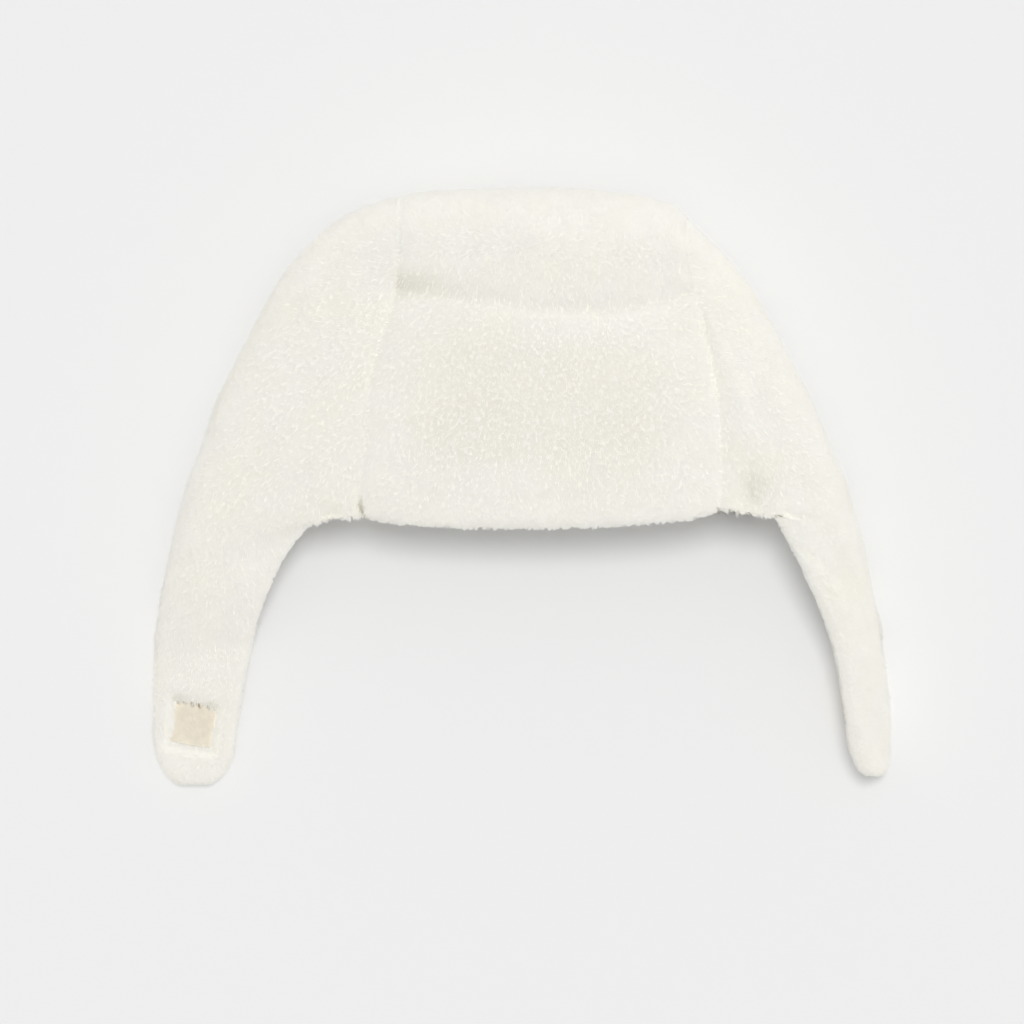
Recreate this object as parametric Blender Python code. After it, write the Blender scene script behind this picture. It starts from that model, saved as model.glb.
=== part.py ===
"""Baby hat with two ear flaps, lying on its back with the front up.

Run with: blender --background --python part.py

Units in the tables are millimetres and degrees; the meshes are in metres. +Z is up,
+Y points to the top of the crown, +X to the right flap. The hat stands on Z = 0.
"""

import math

import bmesh
import bpy
import numpy as np
from mathutils import Matrix

MM = 0.001

# Walls
WALL = 11.0  # fur pile, backing and inner fleece together
HEM_ROUND = 6.0  # how far in from a hem its rounding reaches
HEM_THIN = 0.4  # share of the wall that each face gives up at a hem
SEAM_SINK = 2.2  # depth of the groove in the fur along a seam
SEAM_REACH = 4.5  # half-width of that groove
SEAM_GAP = 0.4  # between the walls of two panels at a seam

# Rows and stations of the loft
CROWN_ROWS = (0.0, 0.2, 0.5, 1.0, 1.5, 2.0, 2.5, 3.0, 3.5, 4.0, 4.5, 5.0, 5.5, 6.0, 6.5, 7.0)
BROW_ROWS = (7.4, 7.75, 8.05, 8.35, 8.65, 8.87, 9.0)  # closer, for the turned hem
PLAIN_ROW = 16.0  # from here to the tip each table row is one loft row
GATHER_ROWS = (9.5, 10.0, 10.5, 11.0, 11.5, 12.0, 12.5, 13.0, 13.5, 14.0, 14.5, 15.0, 15.5)
EDGE_STEPS = (0.0, 1.3, 3.4, 7.0)  # distances from an edge of the first stations
EDGE_SHARES = (0.0, 0.07, 0.18, 0.33)  # most that they take of a narrow row
SIDE_STEPS = 11  # even steps between them across a side panel
CENTRE_STEPS = 6  # and across the centre panel

# Side panels. A section stands in the upright plane from the inner point to the
# outermost point of the hat, seen from above. The outer face starts at the inner
# point, slopes down by lean, turns through a round fold of radius fold until it
# points turn degrees below level (180 is folded flat under the hat), and then runs
# back under the hat to back, a distance from the inner point. puff crowns the face
# before the fold, and lift holds the section's end off the surface.
SECTION_COLUMNS = ("in_x", "in_y", "out_x", "out_y", "lean", "fold", "turn", "back", "puff", "lift")
SEAM_END_ROW = 9  # the table row at the brow, where seam turns into hem
NO_LAYER_UNDER = 99.0  # back value of a single layer
PAST_THE_FRONT = -9.0  # row number of the ridge and the back, far from any fold

LEFT_SECTIONS = (
    (-53.0, 101.0, -53.0, 128.5, 4.0, 26.0, 180.0, 0.0, 0.0, 0.0),
    (-53.5, 95.0, -68.5, 124.5, 4.0, 25.5, 180.0, 4.0, 0.5, 0.0),
    (-54.0, 89.0, -83.0, 116.5, 3.0, 24.5, 180.0, 8.0, 1.5, 0.0),
    (-55.5, 82.5, -96.5, 104.5, 4.0, 24.0, 180.0, 11.0, 2.5, 0.0),
    (-59.0, 72.0, -108.0, 90.0, 6.0, 24.0, 180.0, 13.5, 3.0, 0.0),
    (-64.0, 54.5, -121.0, 65.5, 8.0, 23.5, 180.0, 16.0, 3.0, 0.0),
    (-67.0, 35.0, -133.0, 41.5, 9.0, 22.5, 180.0, 18.5, 3.0, 0.0),
    (-68.5, 15.0, -141.5, 18.0, 9.0, 21.5, 180.0, 20.5, 3.0, 0.0),
    (-70.0, -0.5, -147.5, 2.0, 9.0, 20.5, 180.0, 22.0, 2.5, 0.0),
    (-70.5, -12.0, -150.5, -8.5, 8.0, 19.5, 180.0, 23.0, 2.0, 0.0),
    (-75.5, -13.5, -152.5, -16.0, 8.0, 18.5, 180.0, 30.0, 2.0, 0.0),
    (-86.5, -14.0, -154.0, -25.5, 7.0, 17.5, 180.0, 44.0, 2.0, 0.0),
    (-96.0, -20.5, -156.0, -35.5, 6.0, 16.0, 178.0, NO_LAYER_UNDER, 1.5, 0.0),
    (-105.0, -31.5, -158.5, -45.5, 5.0, 15.5, 165.0, NO_LAYER_UNDER, 1.0, 0.0),
    (-112.0, -45.5, -160.5, -55.0, 4.0, 15.0, 140.0, NO_LAYER_UNDER, 0.5, 0.0),
    (-116.5, -58.5, -162.5, -66.0, 3.0, 14.5, 110.0, NO_LAYER_UNDER, 0.0, 0.0),
    (-120.0, -73.0, -164.0, -78.0, 2.0, 14.5, 80.0, NO_LAYER_UNDER, 0.0, 0.0),
    (-123.0, -90.5, -165.0, -92.0, 1.0, 15.5, 50.0, NO_LAYER_UNDER, 0.0, 0.0),
    (-125.5, -106.0, -165.0, -106.5, 0.0, 18.0, 25.0, NO_LAYER_UNDER, 0.0, 0.0),
    (-126.5, -115.5, -163.5, -115.5, 0.0, 20.0, 20.0, NO_LAYER_UNDER, 0.0, 0.0),
    (-129.5, -123.0, -160.5, -123.0, 0.0, 20.0, 20.0, NO_LAYER_UNDER, 0.0, 0.0),
    (-134.0, -128.0, -156.0, -128.0, 0.0, 20.0, 20.0, NO_LAYER_UNDER, 0.0, 0.0),
    (-139.0, -130.5, -151.0, -130.5, 0.0, 20.0, 20.0, NO_LAYER_UNDER, 0.0, 0.0),
    (-141.0, -131.5, -149.0, -131.5, 0.0, 20.0, 20.0, NO_LAYER_UNDER, 0.0, 0.0),
)

RIGHT_SECTIONS = (
    (73.0, 91.5, 70.0, 121.0, 3.0, 26.0, 180.0, 0.0, 0.0, 0.0),
    (74.0, 89.0, 77.5, 113.5, 3.0, 25.0, 180.0, -2.0, 0.0, 0.0),
    (75.0, 86.0, 86.0, 105.5, 3.0, 24.0, 180.0, -4.0, 0.5, 0.0),
    (77.0, 79.0, 94.0, 97.0, 3.0, 24.0, 180.0, -7.0, 1.0, 0.0),
    (79.0, 68.5, 103.5, 83.5, 4.0, 24.5, 180.0, -10.0, 1.5, 0.0),
    (82.5, 52.5, 115.5, 61.5, 5.0, 25.5, 180.0, -14.0, 2.0, 0.0),
    (85.0, 34.0, 127.0, 39.5, 6.0, 25.5, 180.0, -18.0, 2.5, 0.0),
    (86.0, 14.0, 136.0, 18.0, 6.0, 24.5, 180.0, -21.0, 2.5, 0.0),
    (86.0, -0.5, 142.5, 3.0, 6.0, 23.5, 180.0, -23.0, 2.5, 0.0),
    (85.5, -10.0, 145.5, -8.5, 6.0, 23.0, 180.0, -23.0, 2.0, 0.0),
    (91.5, -9.0, 148.0, -16.5, 8.0, 22.0, 180.0, -12.0, 2.0, 0.0),
    (101.0, -8.0, 150.0, -24.5, 11.0, 21.0, 180.0, 5.0, 1.5, 0.0),
    (109.5, -11.0, 152.0, -33.5, 16.0, 19.5, 180.0, 22.0, 1.0, 0.0),
    (116.5, -20.0, 153.5, -42.0, 24.0, 17.5, 172.0, NO_LAYER_UNDER, 0.5, 0.0),
    (123.0, -31.0, 155.5, -50.0, 34.0, 15.5, 150.0, NO_LAYER_UNDER, 0.0, 0.0),
    (129.5, -43.0, 158.0, -58.5, 44.0, 14.5, 122.0, NO_LAYER_UNDER, 0.0, 0.0),
    (136.5, -56.5, 160.0, -66.5, 52.0, 14.0, 98.0, NO_LAYER_UNDER, 0.0, 0.0),
    (142.5, -71.0, 161.5, -76.0, 58.0, 14.0, 86.0, NO_LAYER_UNDER, 0.0, 0.0),
    (146.0, -86.0, 163.0, -88.5, 60.0, 14.0, 85.0, NO_LAYER_UNDER, 0.0, 0.0),
    (148.5, -101.5, 164.5, -102.5, 61.0, 14.0, 85.0, NO_LAYER_UNDER, 0.0, 0.0),
    (149.5, -110.5, 164.5, -111.5, 60.0, 14.0, 84.0, NO_LAYER_UNDER, 0.0, 1.0),
    (151.5, -118.0, 164.0, -118.5, 58.0, 14.0, 82.0, NO_LAYER_UNDER, 0.0, 4.0),
    (154.0, -123.5, 163.0, -124.0, 56.0, 14.0, 80.0, NO_LAYER_UNDER, 0.0, 8.5),
    (156.5, -126.5, 161.5, -127.0, 54.0, 14.0, 78.0, NO_LAYER_UNDER, 0.0, 12.0),
    (157.5, -128.0, 160.5, -128.0, 54.0, 14.0, 68.0, NO_LAYER_UNDER, 0.0, 13.0),
)

# Dents and gathers of the side panels: the table row and the distance from the front
# edge of each one's middle, its depth, and how far it reaches along and across rows
DENT_COLUMNS = ("row", "way", "depth", "row_reach", "way_reach")
LEFT_DENTS = (
    (8.9, 13.0, 4.5, 0.5, 5.0),  # gather beside the brow's left corner
    (8.4, 1.5, 3.0, 0.6, 3.5),  # slit where the seam ends
)
RIGHT_DENTS = (
    (8.2, 15.0, 5.0, 0.8, 8.0),  # dent beside the brow's right corner
    (9.5, 27.0, 3.5, 0.5, 9.0),  # the crease that runs out of it
    (13.5, 7.0, 3.5, 0.4, 9.0),  # wrinkles where the flap turns up on its edge
    (14.8, 11.0, 3.0, 0.4, 9.0),
)

# Centre panel, which spans between the seams of the side panels
PUFF_PLACES = (0.0, 0.5, 1.0, 1.5)  # the brow, halfway up, under the ridge, on top of it
PUFFS = (5.5, 9.0, 7.0, 7.5)  # how far it swells there between its seams
PUFF_POWER = 0.6  # below 1 the panel swells close to its seams
BROW_DROP = 7.5  # the brow's curve below its corners
BROW_REACH = 0.35  # share of the front that the curve fades over
CREASE_ROW = 2  # the table row that the fold across the crown follows
CREASE_DEPTHS = (6.0, 3.0, 4.5)  # at the left seam, in the middle and at the right seam
CREASE_REACH = 4.5  # half-width of the fold
CREASE_SAG = 8.5  # how far the fold dips towards the brow
CREASE_SAG_REACH = 1.2  # in table rows
CREASE_SKEW = 1.5  # above 1 it dips lowest nearer the right seam
INNER_SHARE = 0.5  # share of the folds that the inner face follows
HEM_LINE = 14.5  # from the brow's edge to the stitched line of its turned hem
HEM_LINE_REACH = 2.5
HEM_LINE_DEPTH = 1.6

# Fastener patches
PATCH_SIDE = 19.0
PATCH_THICK = 1.6
PATCH_CORNER = 2.5
PATCH_GAP = 0.3  # to the flap's face under it
LOOP_CENTRE = (-145.0, -103.5)
LOOP_TURN = -10.0  # about Z
POCKET_DEPTH = 4.0  # the loop patch lies this far below the fur
POCKET_CLEARANCE = 0.5
FLAP_TOP = 11.5  # the flat flap's upper face
HOOK_ROW = 18.5  # the table row of the right flap at the patch's centre
HOOK_WAY = 17.0  # from the front edge across the flap
HOOK_SEAT = (0.5, 2.0)  # half the rows and half the way that its seat is read over

# Colours, linear RGB, and roughness
FUR = (0.86, 0.83, 0.75, 1.0)
LOOP = (0.80, 0.71, 0.59, 1.0)
HOOK = (0.82, 0.77, 0.68, 1.0)
FUR_ROUGHNESS = 0.9
LOOP_ROUGHNESS = 0.95
HOOK_ROUGHNESS = 0.6


def clear_scene():
    for obj in list(bpy.data.objects):
        bpy.data.objects.remove(obj, do_unlink=True)


def new_collection(name):
    collection = bpy.data.collections.new(name)
    bpy.context.scene.collection.children.link(collection)
    return collection


def new_material(name, colour, roughness):
    material = bpy.data.materials.new(name)
    material.use_nodes = True
    shader = material.node_tree.nodes["Principled BSDF"]
    shader.inputs["Base Color"].default_value = colour
    shader.inputs["Roughness"].default_value = roughness
    shader.inputs["Metallic"].default_value = 0.0
    return material


def columns(names, table):
    """The table as one array to each named column."""
    return dict(zip(names, np.array(table).T))


def smooth(values, row):
    """A column read at fractional rows, on a Catmull-Rom curve through its values."""
    last = len(values) - 1
    i = np.clip(np.floor(row).astype(int), 0, last - 1)
    t = row - i
    before, start, end, after = (values[np.clip(i + k, 0, last)] for k in (-1, 0, 1, 2))
    bend = 2.0 * before - 5.0 * start + 4.0 * end - after
    twist = 3.0 * (start - end) + after - before
    return start + 0.5 * t * ((end - before) + t * (bend + t * twist))


def edge_stations(length, steps):
    """Distances along rows of these lengths, close together near both ends."""
    length = length.reshape(-1, 1)
    near = np.minimum(EDGE_STEPS, np.array(EDGE_SHARES) * length)
    evenly = np.linspace(0.0, 1.0, steps + 1)[1:-1]
    middle = near[:, -1:] + (length - 2.0 * near[:, -1:]) * evenly
    return np.concatenate([near, middle, length - near[:, ::-1]], axis=1)


def along_columns(face):
    """Distance down each column of a grid from its first row."""
    steps = np.linalg.norm(np.diff(face, axis=0), axis=-1)
    return np.concatenate([np.zeros((1, steps.shape[1])), np.cumsum(steps, axis=0)])


def side_wall(table, row, way=None):
    """Outer and inner face of a side panel, as grids of rows by stations across.

    Across a row the face is a straight run, a round fold and a run under the hat.
    The inner face is WALL inside the outer one, along the section's normal. Also
    returned are the stations' distances from the front edge and from the back edge.
    """
    section = columns(SECTION_COLUMNS, table)
    c = {name: smooth(values, row)[:, None] for name, values in section.items()}
    lean, turn, fold = np.radians(c["lean"]), np.radians(c["turn"]), c["fold"]
    reach = np.hypot(c["out_x"] - c["in_x"], c["out_y"] - c["in_y"])
    along_x, along_y = (c["out_x"] - c["in_x"]) / reach, (c["out_y"] - c["in_y"]) / reach

    run = reach - fold * (np.sin(np.minimum(turn, math.pi / 2)) - np.sin(lean))
    run_length = run / np.cos(lean)
    fold_length = fold * (turn - lean)
    end = run + fold * (np.sin(turn) - np.sin(lean))
    length = run_length + fold_length + np.clip(end - c["back"], 0.0, None)
    fold_start = WALL * np.clip(np.cos(turn), 0.0, None) + c["lift"] + fold * (np.cos(lean) - np.cos(turn))

    if way is None:
        way = edge_stations(length, SIDE_STEPS)
    on_run = np.clip(way, 0.0, run_length)
    angle = lean + np.clip(way - run_length, 0.0, fold_length) / fold
    on_under = np.clip(way - run_length - fold_length, 0.0, None)

    out = on_run * np.cos(lean) + fold * (np.sin(angle) - np.sin(lean)) - on_under
    height = fold_start + (run_length - on_run) * np.sin(lean) - fold * (np.cos(lean) - np.cos(angle))
    height = height + c["puff"] * np.sin(math.pi * on_run / run_length) ** 2

    outer = np.stack([c["in_x"] + along_x * out, c["in_y"] + along_y * out, height], axis=-1)
    normal = np.stack([along_x * np.sin(angle), along_y * np.sin(angle), np.cos(angle)], axis=-1)
    return outer, outer - WALL * normal, way, length - way


def dented(outer, inner, dents, row, way):
    """The outer face pushed in towards the inner one, as a round bell at each dent."""
    d = columns(DENT_COLUMNS, dents)
    along = (row[:, None, None] - d["row"]) / d["row_reach"]
    across = (way[..., None] - d["way"]) / d["way_reach"]
    deep = np.sum(d["depth"] * np.exp(-(along**2) - across**2), axis=-1)
    return outer + (inner - outer) * (deep / WALL)[..., None]


def seam_of(face, seam_rows):
    """The seam of a side panel from brow to nape: up its front, over the ridge, down its back."""
    front = face[seam_rows - 1 :: -1, 0]
    ridge = face[0, 1:-1]
    back = face[:seam_rows, -1]
    return np.concatenate([front, ridge, back])


def centre_wall(left, right, seam_row_numbers):
    """Outer and inner face of the centre panel, as grids of rows by stations across.

    Each row runs straight from seam to seam. The brow's curve and the fold's dip
    move it along Y, and the swelling, less the fold and the hem line, moves it
    along the ridge's normal, which turns from +Z over +Y to -Z. Also returned are
    the distances from the seams and from the brow and nape.
    """
    seam_rows = len(seam_row_numbers)
    ridge_rows = left[0].shape[1] - 2
    gap = np.array((SEAM_GAP, 0.0, 0.0))
    seams = [(seam_of(a, seam_rows) + gap, seam_of(b, seam_rows) - gap) for a, b in zip(left, right)]
    width = np.linalg.norm(seams[0][1] - seams[0][0], axis=-1)
    way = edge_stations(width, CENTRE_STEPS)
    w = way / width[:, None]
    swell = (4.0 * w * (1.0 - w)) ** PUFF_POWER

    beyond = np.full(ridge_rows + seam_rows, PAST_THE_FRONT)
    front_row = np.concatenate([seam_row_numbers[::-1], beyond])[:, None]
    up_front = np.clip(1.0 - front_row / SEAM_END_ROW, 0.0, 1.0)
    seam_height = seams[0][0][:, 2] / seams[0][0][seam_rows - 1, 2]
    over = np.arccos(np.clip(2.0 * seam_height[seam_rows : seam_rows + ridge_rows] - 1.0, -1.0, 1.0))
    ridge = np.concatenate([np.zeros(seam_rows), over, np.full(seam_rows, math.pi)])[:, None]

    puff = np.interp(up_front + ridge / math.pi, PUFF_PLACES, PUFFS)
    puff = np.where(ridge > math.pi / 2, PUFFS[-1] * np.sin(ridge) ** 2, puff)
    drop = BROW_DROP * np.clip(1.0 - up_front / BROW_REACH, 0.0, 1.0) ** 2 * (4.0 * w * (1.0 - w)) ** 0.5
    sag = CREASE_SAG * np.exp(-(((front_row - CREASE_ROW) / CREASE_SAG_REACH) ** 2))
    down = drop + sag * np.sin(math.pi * w**CREASE_SKEW)

    faces = [a[:, None] * (1.0 - w[..., None]) + b[:, None] * w[..., None] for a, b in seams]
    height_up = faces[0][..., 1] - down
    from_crease = height_up - height_up[seam_rows - 1 - list(seam_row_numbers).index(CREASE_ROW)]
    depth = np.interp(w, (0.0, 0.5, 1.0), CREASE_DEPTHS) * np.minimum(1.0, 2.0 * swell)
    crease = np.where(ridge < math.pi / 2, depth * np.exp(-((from_crease / CREASE_REACH) ** 2)), 0.0)
    from_line = along_columns(faces[0]) + down[:1] - down - HEM_LINE
    hem_line = HEM_LINE_DEPTH * np.exp(-((from_line / HEM_LINE_REACH) ** 2)) * swell

    for face, share in zip(faces, (1.0, INNER_SHARE)):
        swelling = puff * swell - share * (crease + hem_line)
        face[..., 1] += swelling * np.sin(ridge) - down
        face[..., 2] += swelling * np.cos(ridge)
    from_brow = along_columns(faces[0])
    return faces, np.minimum(way, width[:, None] - way), np.minimum(from_brow, from_brow[-1] - from_brow)


def finish_edges(outer, inner, to_seam, to_hem):
    """Rounds the hems, where both faces come together, and sinks the fur along the seams.

    Distances are in the table's units; an edge that isn't there is infinitely far.
    """
    at_hem = np.clip(1.0 - to_hem / HEM_ROUND, 0.0, 1.0)
    thin = HEM_THIN * (1.0 - np.sqrt(1.0 - at_hem**2))
    sink = SEAM_SINK / WALL * np.exp(-((to_seam / SEAM_REACH) ** 2)) * (1.0 - at_hem)
    through = inner - outer
    return outer + through * (thin + sink)[..., None], inner - through * thin[..., None]


def wall_mesh(name, outer, inner):
    """A closed wall between two grids of points of the same size."""
    rows, stations = outer.shape[:2]
    corners = np.concatenate([outer.reshape(-1, 3), inner.reshape(-1, 3)]) * MM
    count = rows * stations

    i = np.arange(count).reshape(rows, stations)
    quads = np.stack([i[:-1, :-1], i[:-1, 1:], i[1:, 1:], i[1:, :-1]], axis=-1).reshape(-1, 4)
    rim = np.concatenate([i[0, :], i[1:, -1], i[-1, -2::-1], i[-2:0:-1, 0]])
    ahead = np.roll(rim, -1)
    edge = np.stack([rim, ahead, ahead + count, rim + count], axis=-1)
    faces = np.concatenate([quads, quads + count, edge])

    mesh = bpy.data.meshes.new(name)
    mesh.from_pydata(corners.tolist(), [], faces.tolist())
    work = bmesh.new()
    work.from_mesh(mesh)
    bmesh.ops.recalc_face_normals(work, faces=work.faces)
    work.to_mesh(mesh)
    work.free()
    return mesh


def add_panel(name, outer, inner, collection, material):
    panel = bpy.data.objects.new(name, wall_mesh(name, outer, inner))
    collection.objects.link(panel)
    panel.data.materials.append(material)
    panel.data.shade_smooth()
    return panel


def rounded_plate(name, side, thick, corner, collection):
    """A square plate with rounded corners, centred on its own origin."""
    work = bmesh.new()
    bmesh.ops.create_cube(work, size=1.0)
    bmesh.ops.scale(work, vec=(side * MM, side * MM, thick * MM), verts=work.verts)
    uprights = [e for e in work.edges if abs((e.verts[0].co - e.verts[1].co).z) > 0.5 * thick * MM]
    bmesh.ops.bevel(work, geom=uprights, offset=corner * MM, segments=3, profile=0.5, affect="EDGES")
    mesh = bpy.data.meshes.new(name)
    work.to_mesh(mesh)
    work.free()
    plate = bpy.data.objects.new(name, mesh)
    collection.objects.link(plate)
    return plate


def cut_pocket(flap, cutters):
    """Sinks a square pocket in the flat flap for the loop patch."""
    side = PATCH_SIDE + 2.0 * POCKET_CLEARANCE
    pocket = rounded_plate("loop_pocket", side, 2.0 * POCKET_DEPTH, PATCH_CORNER + POCKET_CLEARANCE, cutters)
    pocket.location = (LOOP_CENTRE[0] * MM, LOOP_CENTRE[1] * MM, FLAP_TOP * MM)
    pocket.rotation_euler.z = math.radians(LOOP_TURN)
    pocket.hide_render = True
    pocket.display_type = "WIRE"
    cut = flap.modifiers.new("loop_pocket", "BOOLEAN")
    cut.operation = "DIFFERENCE"
    cut.object = pocket


def add_loop_patch(collection, material):
    patch = rounded_plate("loop_patch", PATCH_SIDE, PATCH_THICK, PATCH_CORNER, collection)
    height = FLAP_TOP - POCKET_DEPTH + PATCH_GAP + PATCH_THICK / 2.0
    patch.location = (LOOP_CENTRE[0] * MM, LOOP_CENTRE[1] * MM, height * MM)
    patch.rotation_euler.z = math.radians(LOOP_TURN)
    patch.data.materials.append(material)


def add_hook_patch(collection, material):
    """The mating square, on the inner face of the flap that stands on its edge."""
    patch = rounded_plate("hook_patch", PATCH_SIDE, PATCH_THICK, PATCH_CORNER, collection)
    around = np.array((-1.0, 0.0, 1.0))
    near_row = HOOK_ROW + HOOK_SEAT[0] * around
    near_way = HOOK_WAY + HOOK_SEAT[1] * around[None]
    outer, inner, _, _ = side_wall(RIGHT_SECTIONS, near_row, near_way)
    down_flap = inner[2, 1] - inner[0, 1]
    down_flap /= np.linalg.norm(down_flap)
    facing = np.cross(down_flap, inner[1, 2] - inner[1, 0])
    facing *= np.sign(np.dot(facing, inner[1, 1] - outer[1, 1])) / np.linalg.norm(facing)
    centre = inner[1, 1] + facing * (PATCH_GAP + PATCH_THICK / 2.0)
    turn = Matrix(np.stack([down_flap, np.cross(facing, down_flap), facing], axis=-1).tolist())
    patch.matrix_world = Matrix.Translation((centre * MM).tolist()) @ turn.to_4x4()
    patch.data.materials.append(material)


def build():
    clear_scene()
    hat = new_collection("baby_hat")
    cutters = new_collection("cutters")

    seam_row_numbers = np.array(CROWN_ROWS + BROW_ROWS)
    walls, panels = {}, {}
    sides = (("left", LEFT_SECTIONS, LEFT_DENTS), ("right", RIGHT_SECTIONS, RIGHT_DENTS))
    for side, table, dents in sides:
        row = np.concatenate([seam_row_numbers, GATHER_ROWS, np.arange(PLAIN_ROW, len(table))])
        outer, inner, from_front, from_back = side_wall(table, row)
        walls[side] = (outer, inner)
        outer = dented(outer, inner, dents, row, from_front)
        to_edge = np.minimum(from_front, from_back)
        sewn = (row <= SEAM_END_ROW)[:, None]
        from_ridge = np.linalg.norm(outer - outer[:1], axis=-1)
        down_flap = along_columns(outer)
        to_seam = np.minimum(np.where(sewn, to_edge, np.inf), from_ridge)
        to_hem = np.minimum(np.where(sewn, np.inf, to_edge), down_flap[-1] - down_flap)
        faces = finish_edges(outer, inner, to_seam, to_hem)
        name = f"{side}_side_panel"
        panels[side] = add_panel(name, *faces, hat, new_material(f"{side}_fur", FUR, FUR_ROUGHNESS))

    faces, to_seam, to_hem = centre_wall(walls["left"], walls["right"], seam_row_numbers)
    faces = finish_edges(*faces, to_seam, to_hem)
    add_panel("crown_panel", *faces, hat, new_material("crown_fur", FUR, FUR_ROUGHNESS))
    cut_pocket(panels["left"], cutters)
    add_loop_patch(hat, new_material("loop_tape", LOOP, LOOP_ROUGHNESS))
    add_hook_patch(hat, new_material("hook_tape", HOOK, HOOK_ROUGHNESS))


build()
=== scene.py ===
"""Looks of a cream fur baby hat with two ear flaps, lying on its back with the front up.

The tables and the wall's shape are in millimetres and degrees, the settings and the
meshes in metres. +Z is up, +Y points to the top of the crown, +X to the right flap.
"""

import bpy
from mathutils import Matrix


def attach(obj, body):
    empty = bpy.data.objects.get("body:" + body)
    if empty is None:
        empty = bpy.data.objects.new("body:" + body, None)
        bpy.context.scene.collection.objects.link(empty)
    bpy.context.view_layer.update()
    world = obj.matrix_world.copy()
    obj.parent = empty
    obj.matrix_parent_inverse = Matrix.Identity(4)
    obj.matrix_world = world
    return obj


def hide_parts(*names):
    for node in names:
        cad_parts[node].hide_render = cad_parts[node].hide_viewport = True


bl_info = {
    "name": "Fur Baby Hat",
    "version": (1, 0, 0),
    "blender": (4, 5, 0),
    "location": "3D View > Sidebar > Baby Hat",
    "description": "Fur, lining and fastener of a baby hat with ear flaps, with its stage",
    "category": "Add Mesh",
}

import math

import bpy
import numpy as np
from mathutils import Vector

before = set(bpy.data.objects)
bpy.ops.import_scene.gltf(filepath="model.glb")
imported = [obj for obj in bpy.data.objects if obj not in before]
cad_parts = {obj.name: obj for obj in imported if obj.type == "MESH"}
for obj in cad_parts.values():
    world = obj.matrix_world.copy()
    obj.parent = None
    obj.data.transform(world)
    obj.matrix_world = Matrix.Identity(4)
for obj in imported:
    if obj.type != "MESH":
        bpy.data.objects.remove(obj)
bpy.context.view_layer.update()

MM = 0.001
PHOTO_MIDDLE = (-0.0044, -0.01012)  # point under the middle of the picture, in metres
FLOOR_SIDE = 20000.0
NOISE_WAVES = 14  # sines that add up to a smooth noise

# Fill lights without shadows: share of their strength, tilt from upright, turn from the crown
FILL_LIGHTS = ((0.35, 82.0, 270.0), (0.55, 82.0, 85.0), (0.5, 82.0, 180.0), (0.35, 82.0, 0.0))

# Wall, as in the solids
WALL = 11.0  # from the tips of the fur to the lining
SEAM_GAP = 0.05  # between two panels at a seam

# Side panels: a section stands in the upright plane from the inner point to the
# outermost point. Its outer face slopes down by lean, turns through a round fold
# until it points turn degrees below level, and runs back under the hat to back.
SECTION_COLUMNS = ("in_x", "in_y", "out_x", "out_y", "lean", "fold", "turn", "back", "puff", "lift")
SEAM_END_ROW = 9  # the table row at the brow, where seam turns into hem
NO_LAYER_UNDER = 99.0  # back value of a single layer
PAST_THE_FRONT = -9.0  # row number of the ridge and the back, far from any fold

LEFT_SECTIONS = (
    (-53.0, 101.0, -53.0, 128.5, 4.0, 26.0, 180.0, 0.0, 0.0, 0.0),
    (-53.5, 95.0, -68.5, 124.5, 4.0, 25.5, 180.0, 4.0, 0.5, 0.0),
    (-54.0, 89.0, -83.0, 116.5, 3.0, 24.5, 180.0, 8.0, 1.5, 0.0),
    (-55.5, 82.5, -96.5, 104.5, 4.0, 24.0, 180.0, 11.0, 2.5, 0.0),
    (-59.0, 72.0, -108.0, 90.0, 6.0, 24.0, 180.0, 13.5, 3.0, 0.0),
    (-64.0, 54.5, -121.0, 65.5, 8.0, 23.5, 180.0, 16.0, 3.0, 0.0),
    (-67.0, 35.0, -133.0, 41.5, 9.0, 22.5, 180.0, 18.5, 3.0, 0.0),
    (-68.5, 15.0, -141.5, 18.0, 9.0, 21.5, 180.0, 20.5, 3.0, 0.0),
    (-70.0, -0.5, -147.5, 2.0, 9.0, 20.5, 180.0, 22.0, 2.5, 0.0),
    (-70.5, -12.0, -150.5, -8.5, 8.0, 19.5, 180.0, 23.0, 2.0, 0.0),
    (-75.5, -13.5, -152.5, -16.0, 8.0, 18.5, 180.0, 30.0, 2.0, 0.0),
    (-86.5, -14.0, -154.0, -25.5, 7.0, 17.5, 180.0, 44.0, 2.0, 0.0),
    (-96.0, -20.5, -156.0, -35.5, 6.0, 16.0, 178.0, NO_LAYER_UNDER, 1.5, 0.0),
    (-105.0, -31.5, -158.5, -45.5, 5.0, 15.5, 165.0, NO_LAYER_UNDER, 1.0, 0.0),
    (-112.0, -45.5, -160.5, -55.0, 4.0, 15.0, 140.0, NO_LAYER_UNDER, 0.5, 0.0),
    (-116.5, -58.5, -162.5, -66.0, 3.0, 14.5, 110.0, NO_LAYER_UNDER, 0.0, 0.0),
    (-120.0, -73.0, -164.0, -78.0, 2.0, 14.5, 80.0, NO_LAYER_UNDER, 0.0, 0.0),
    (-123.0, -90.5, -165.0, -92.0, 1.0, 15.5, 50.0, NO_LAYER_UNDER, 0.0, 0.0),
    (-125.5, -106.0, -165.0, -106.5, 0.0, 18.0, 25.0, NO_LAYER_UNDER, 0.0, 0.0),
    (-126.5, -115.5, -163.5, -115.5, 0.0, 20.0, 20.0, NO_LAYER_UNDER, 0.0, 0.0),
    (-129.5, -123.0, -160.5, -123.0, 0.0, 20.0, 20.0, NO_LAYER_UNDER, 0.0, 0.0),
    (-134.0, -128.0, -156.0, -128.0, 0.0, 20.0, 20.0, NO_LAYER_UNDER, 0.0, 0.0),
    (-139.0, -130.5, -151.0, -130.5, 0.0, 20.0, 20.0, NO_LAYER_UNDER, 0.0, 0.0),
    (-141.0, -131.5, -149.0, -131.5, 0.0, 20.0, 20.0, NO_LAYER_UNDER, 0.0, 0.0),
)

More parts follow.
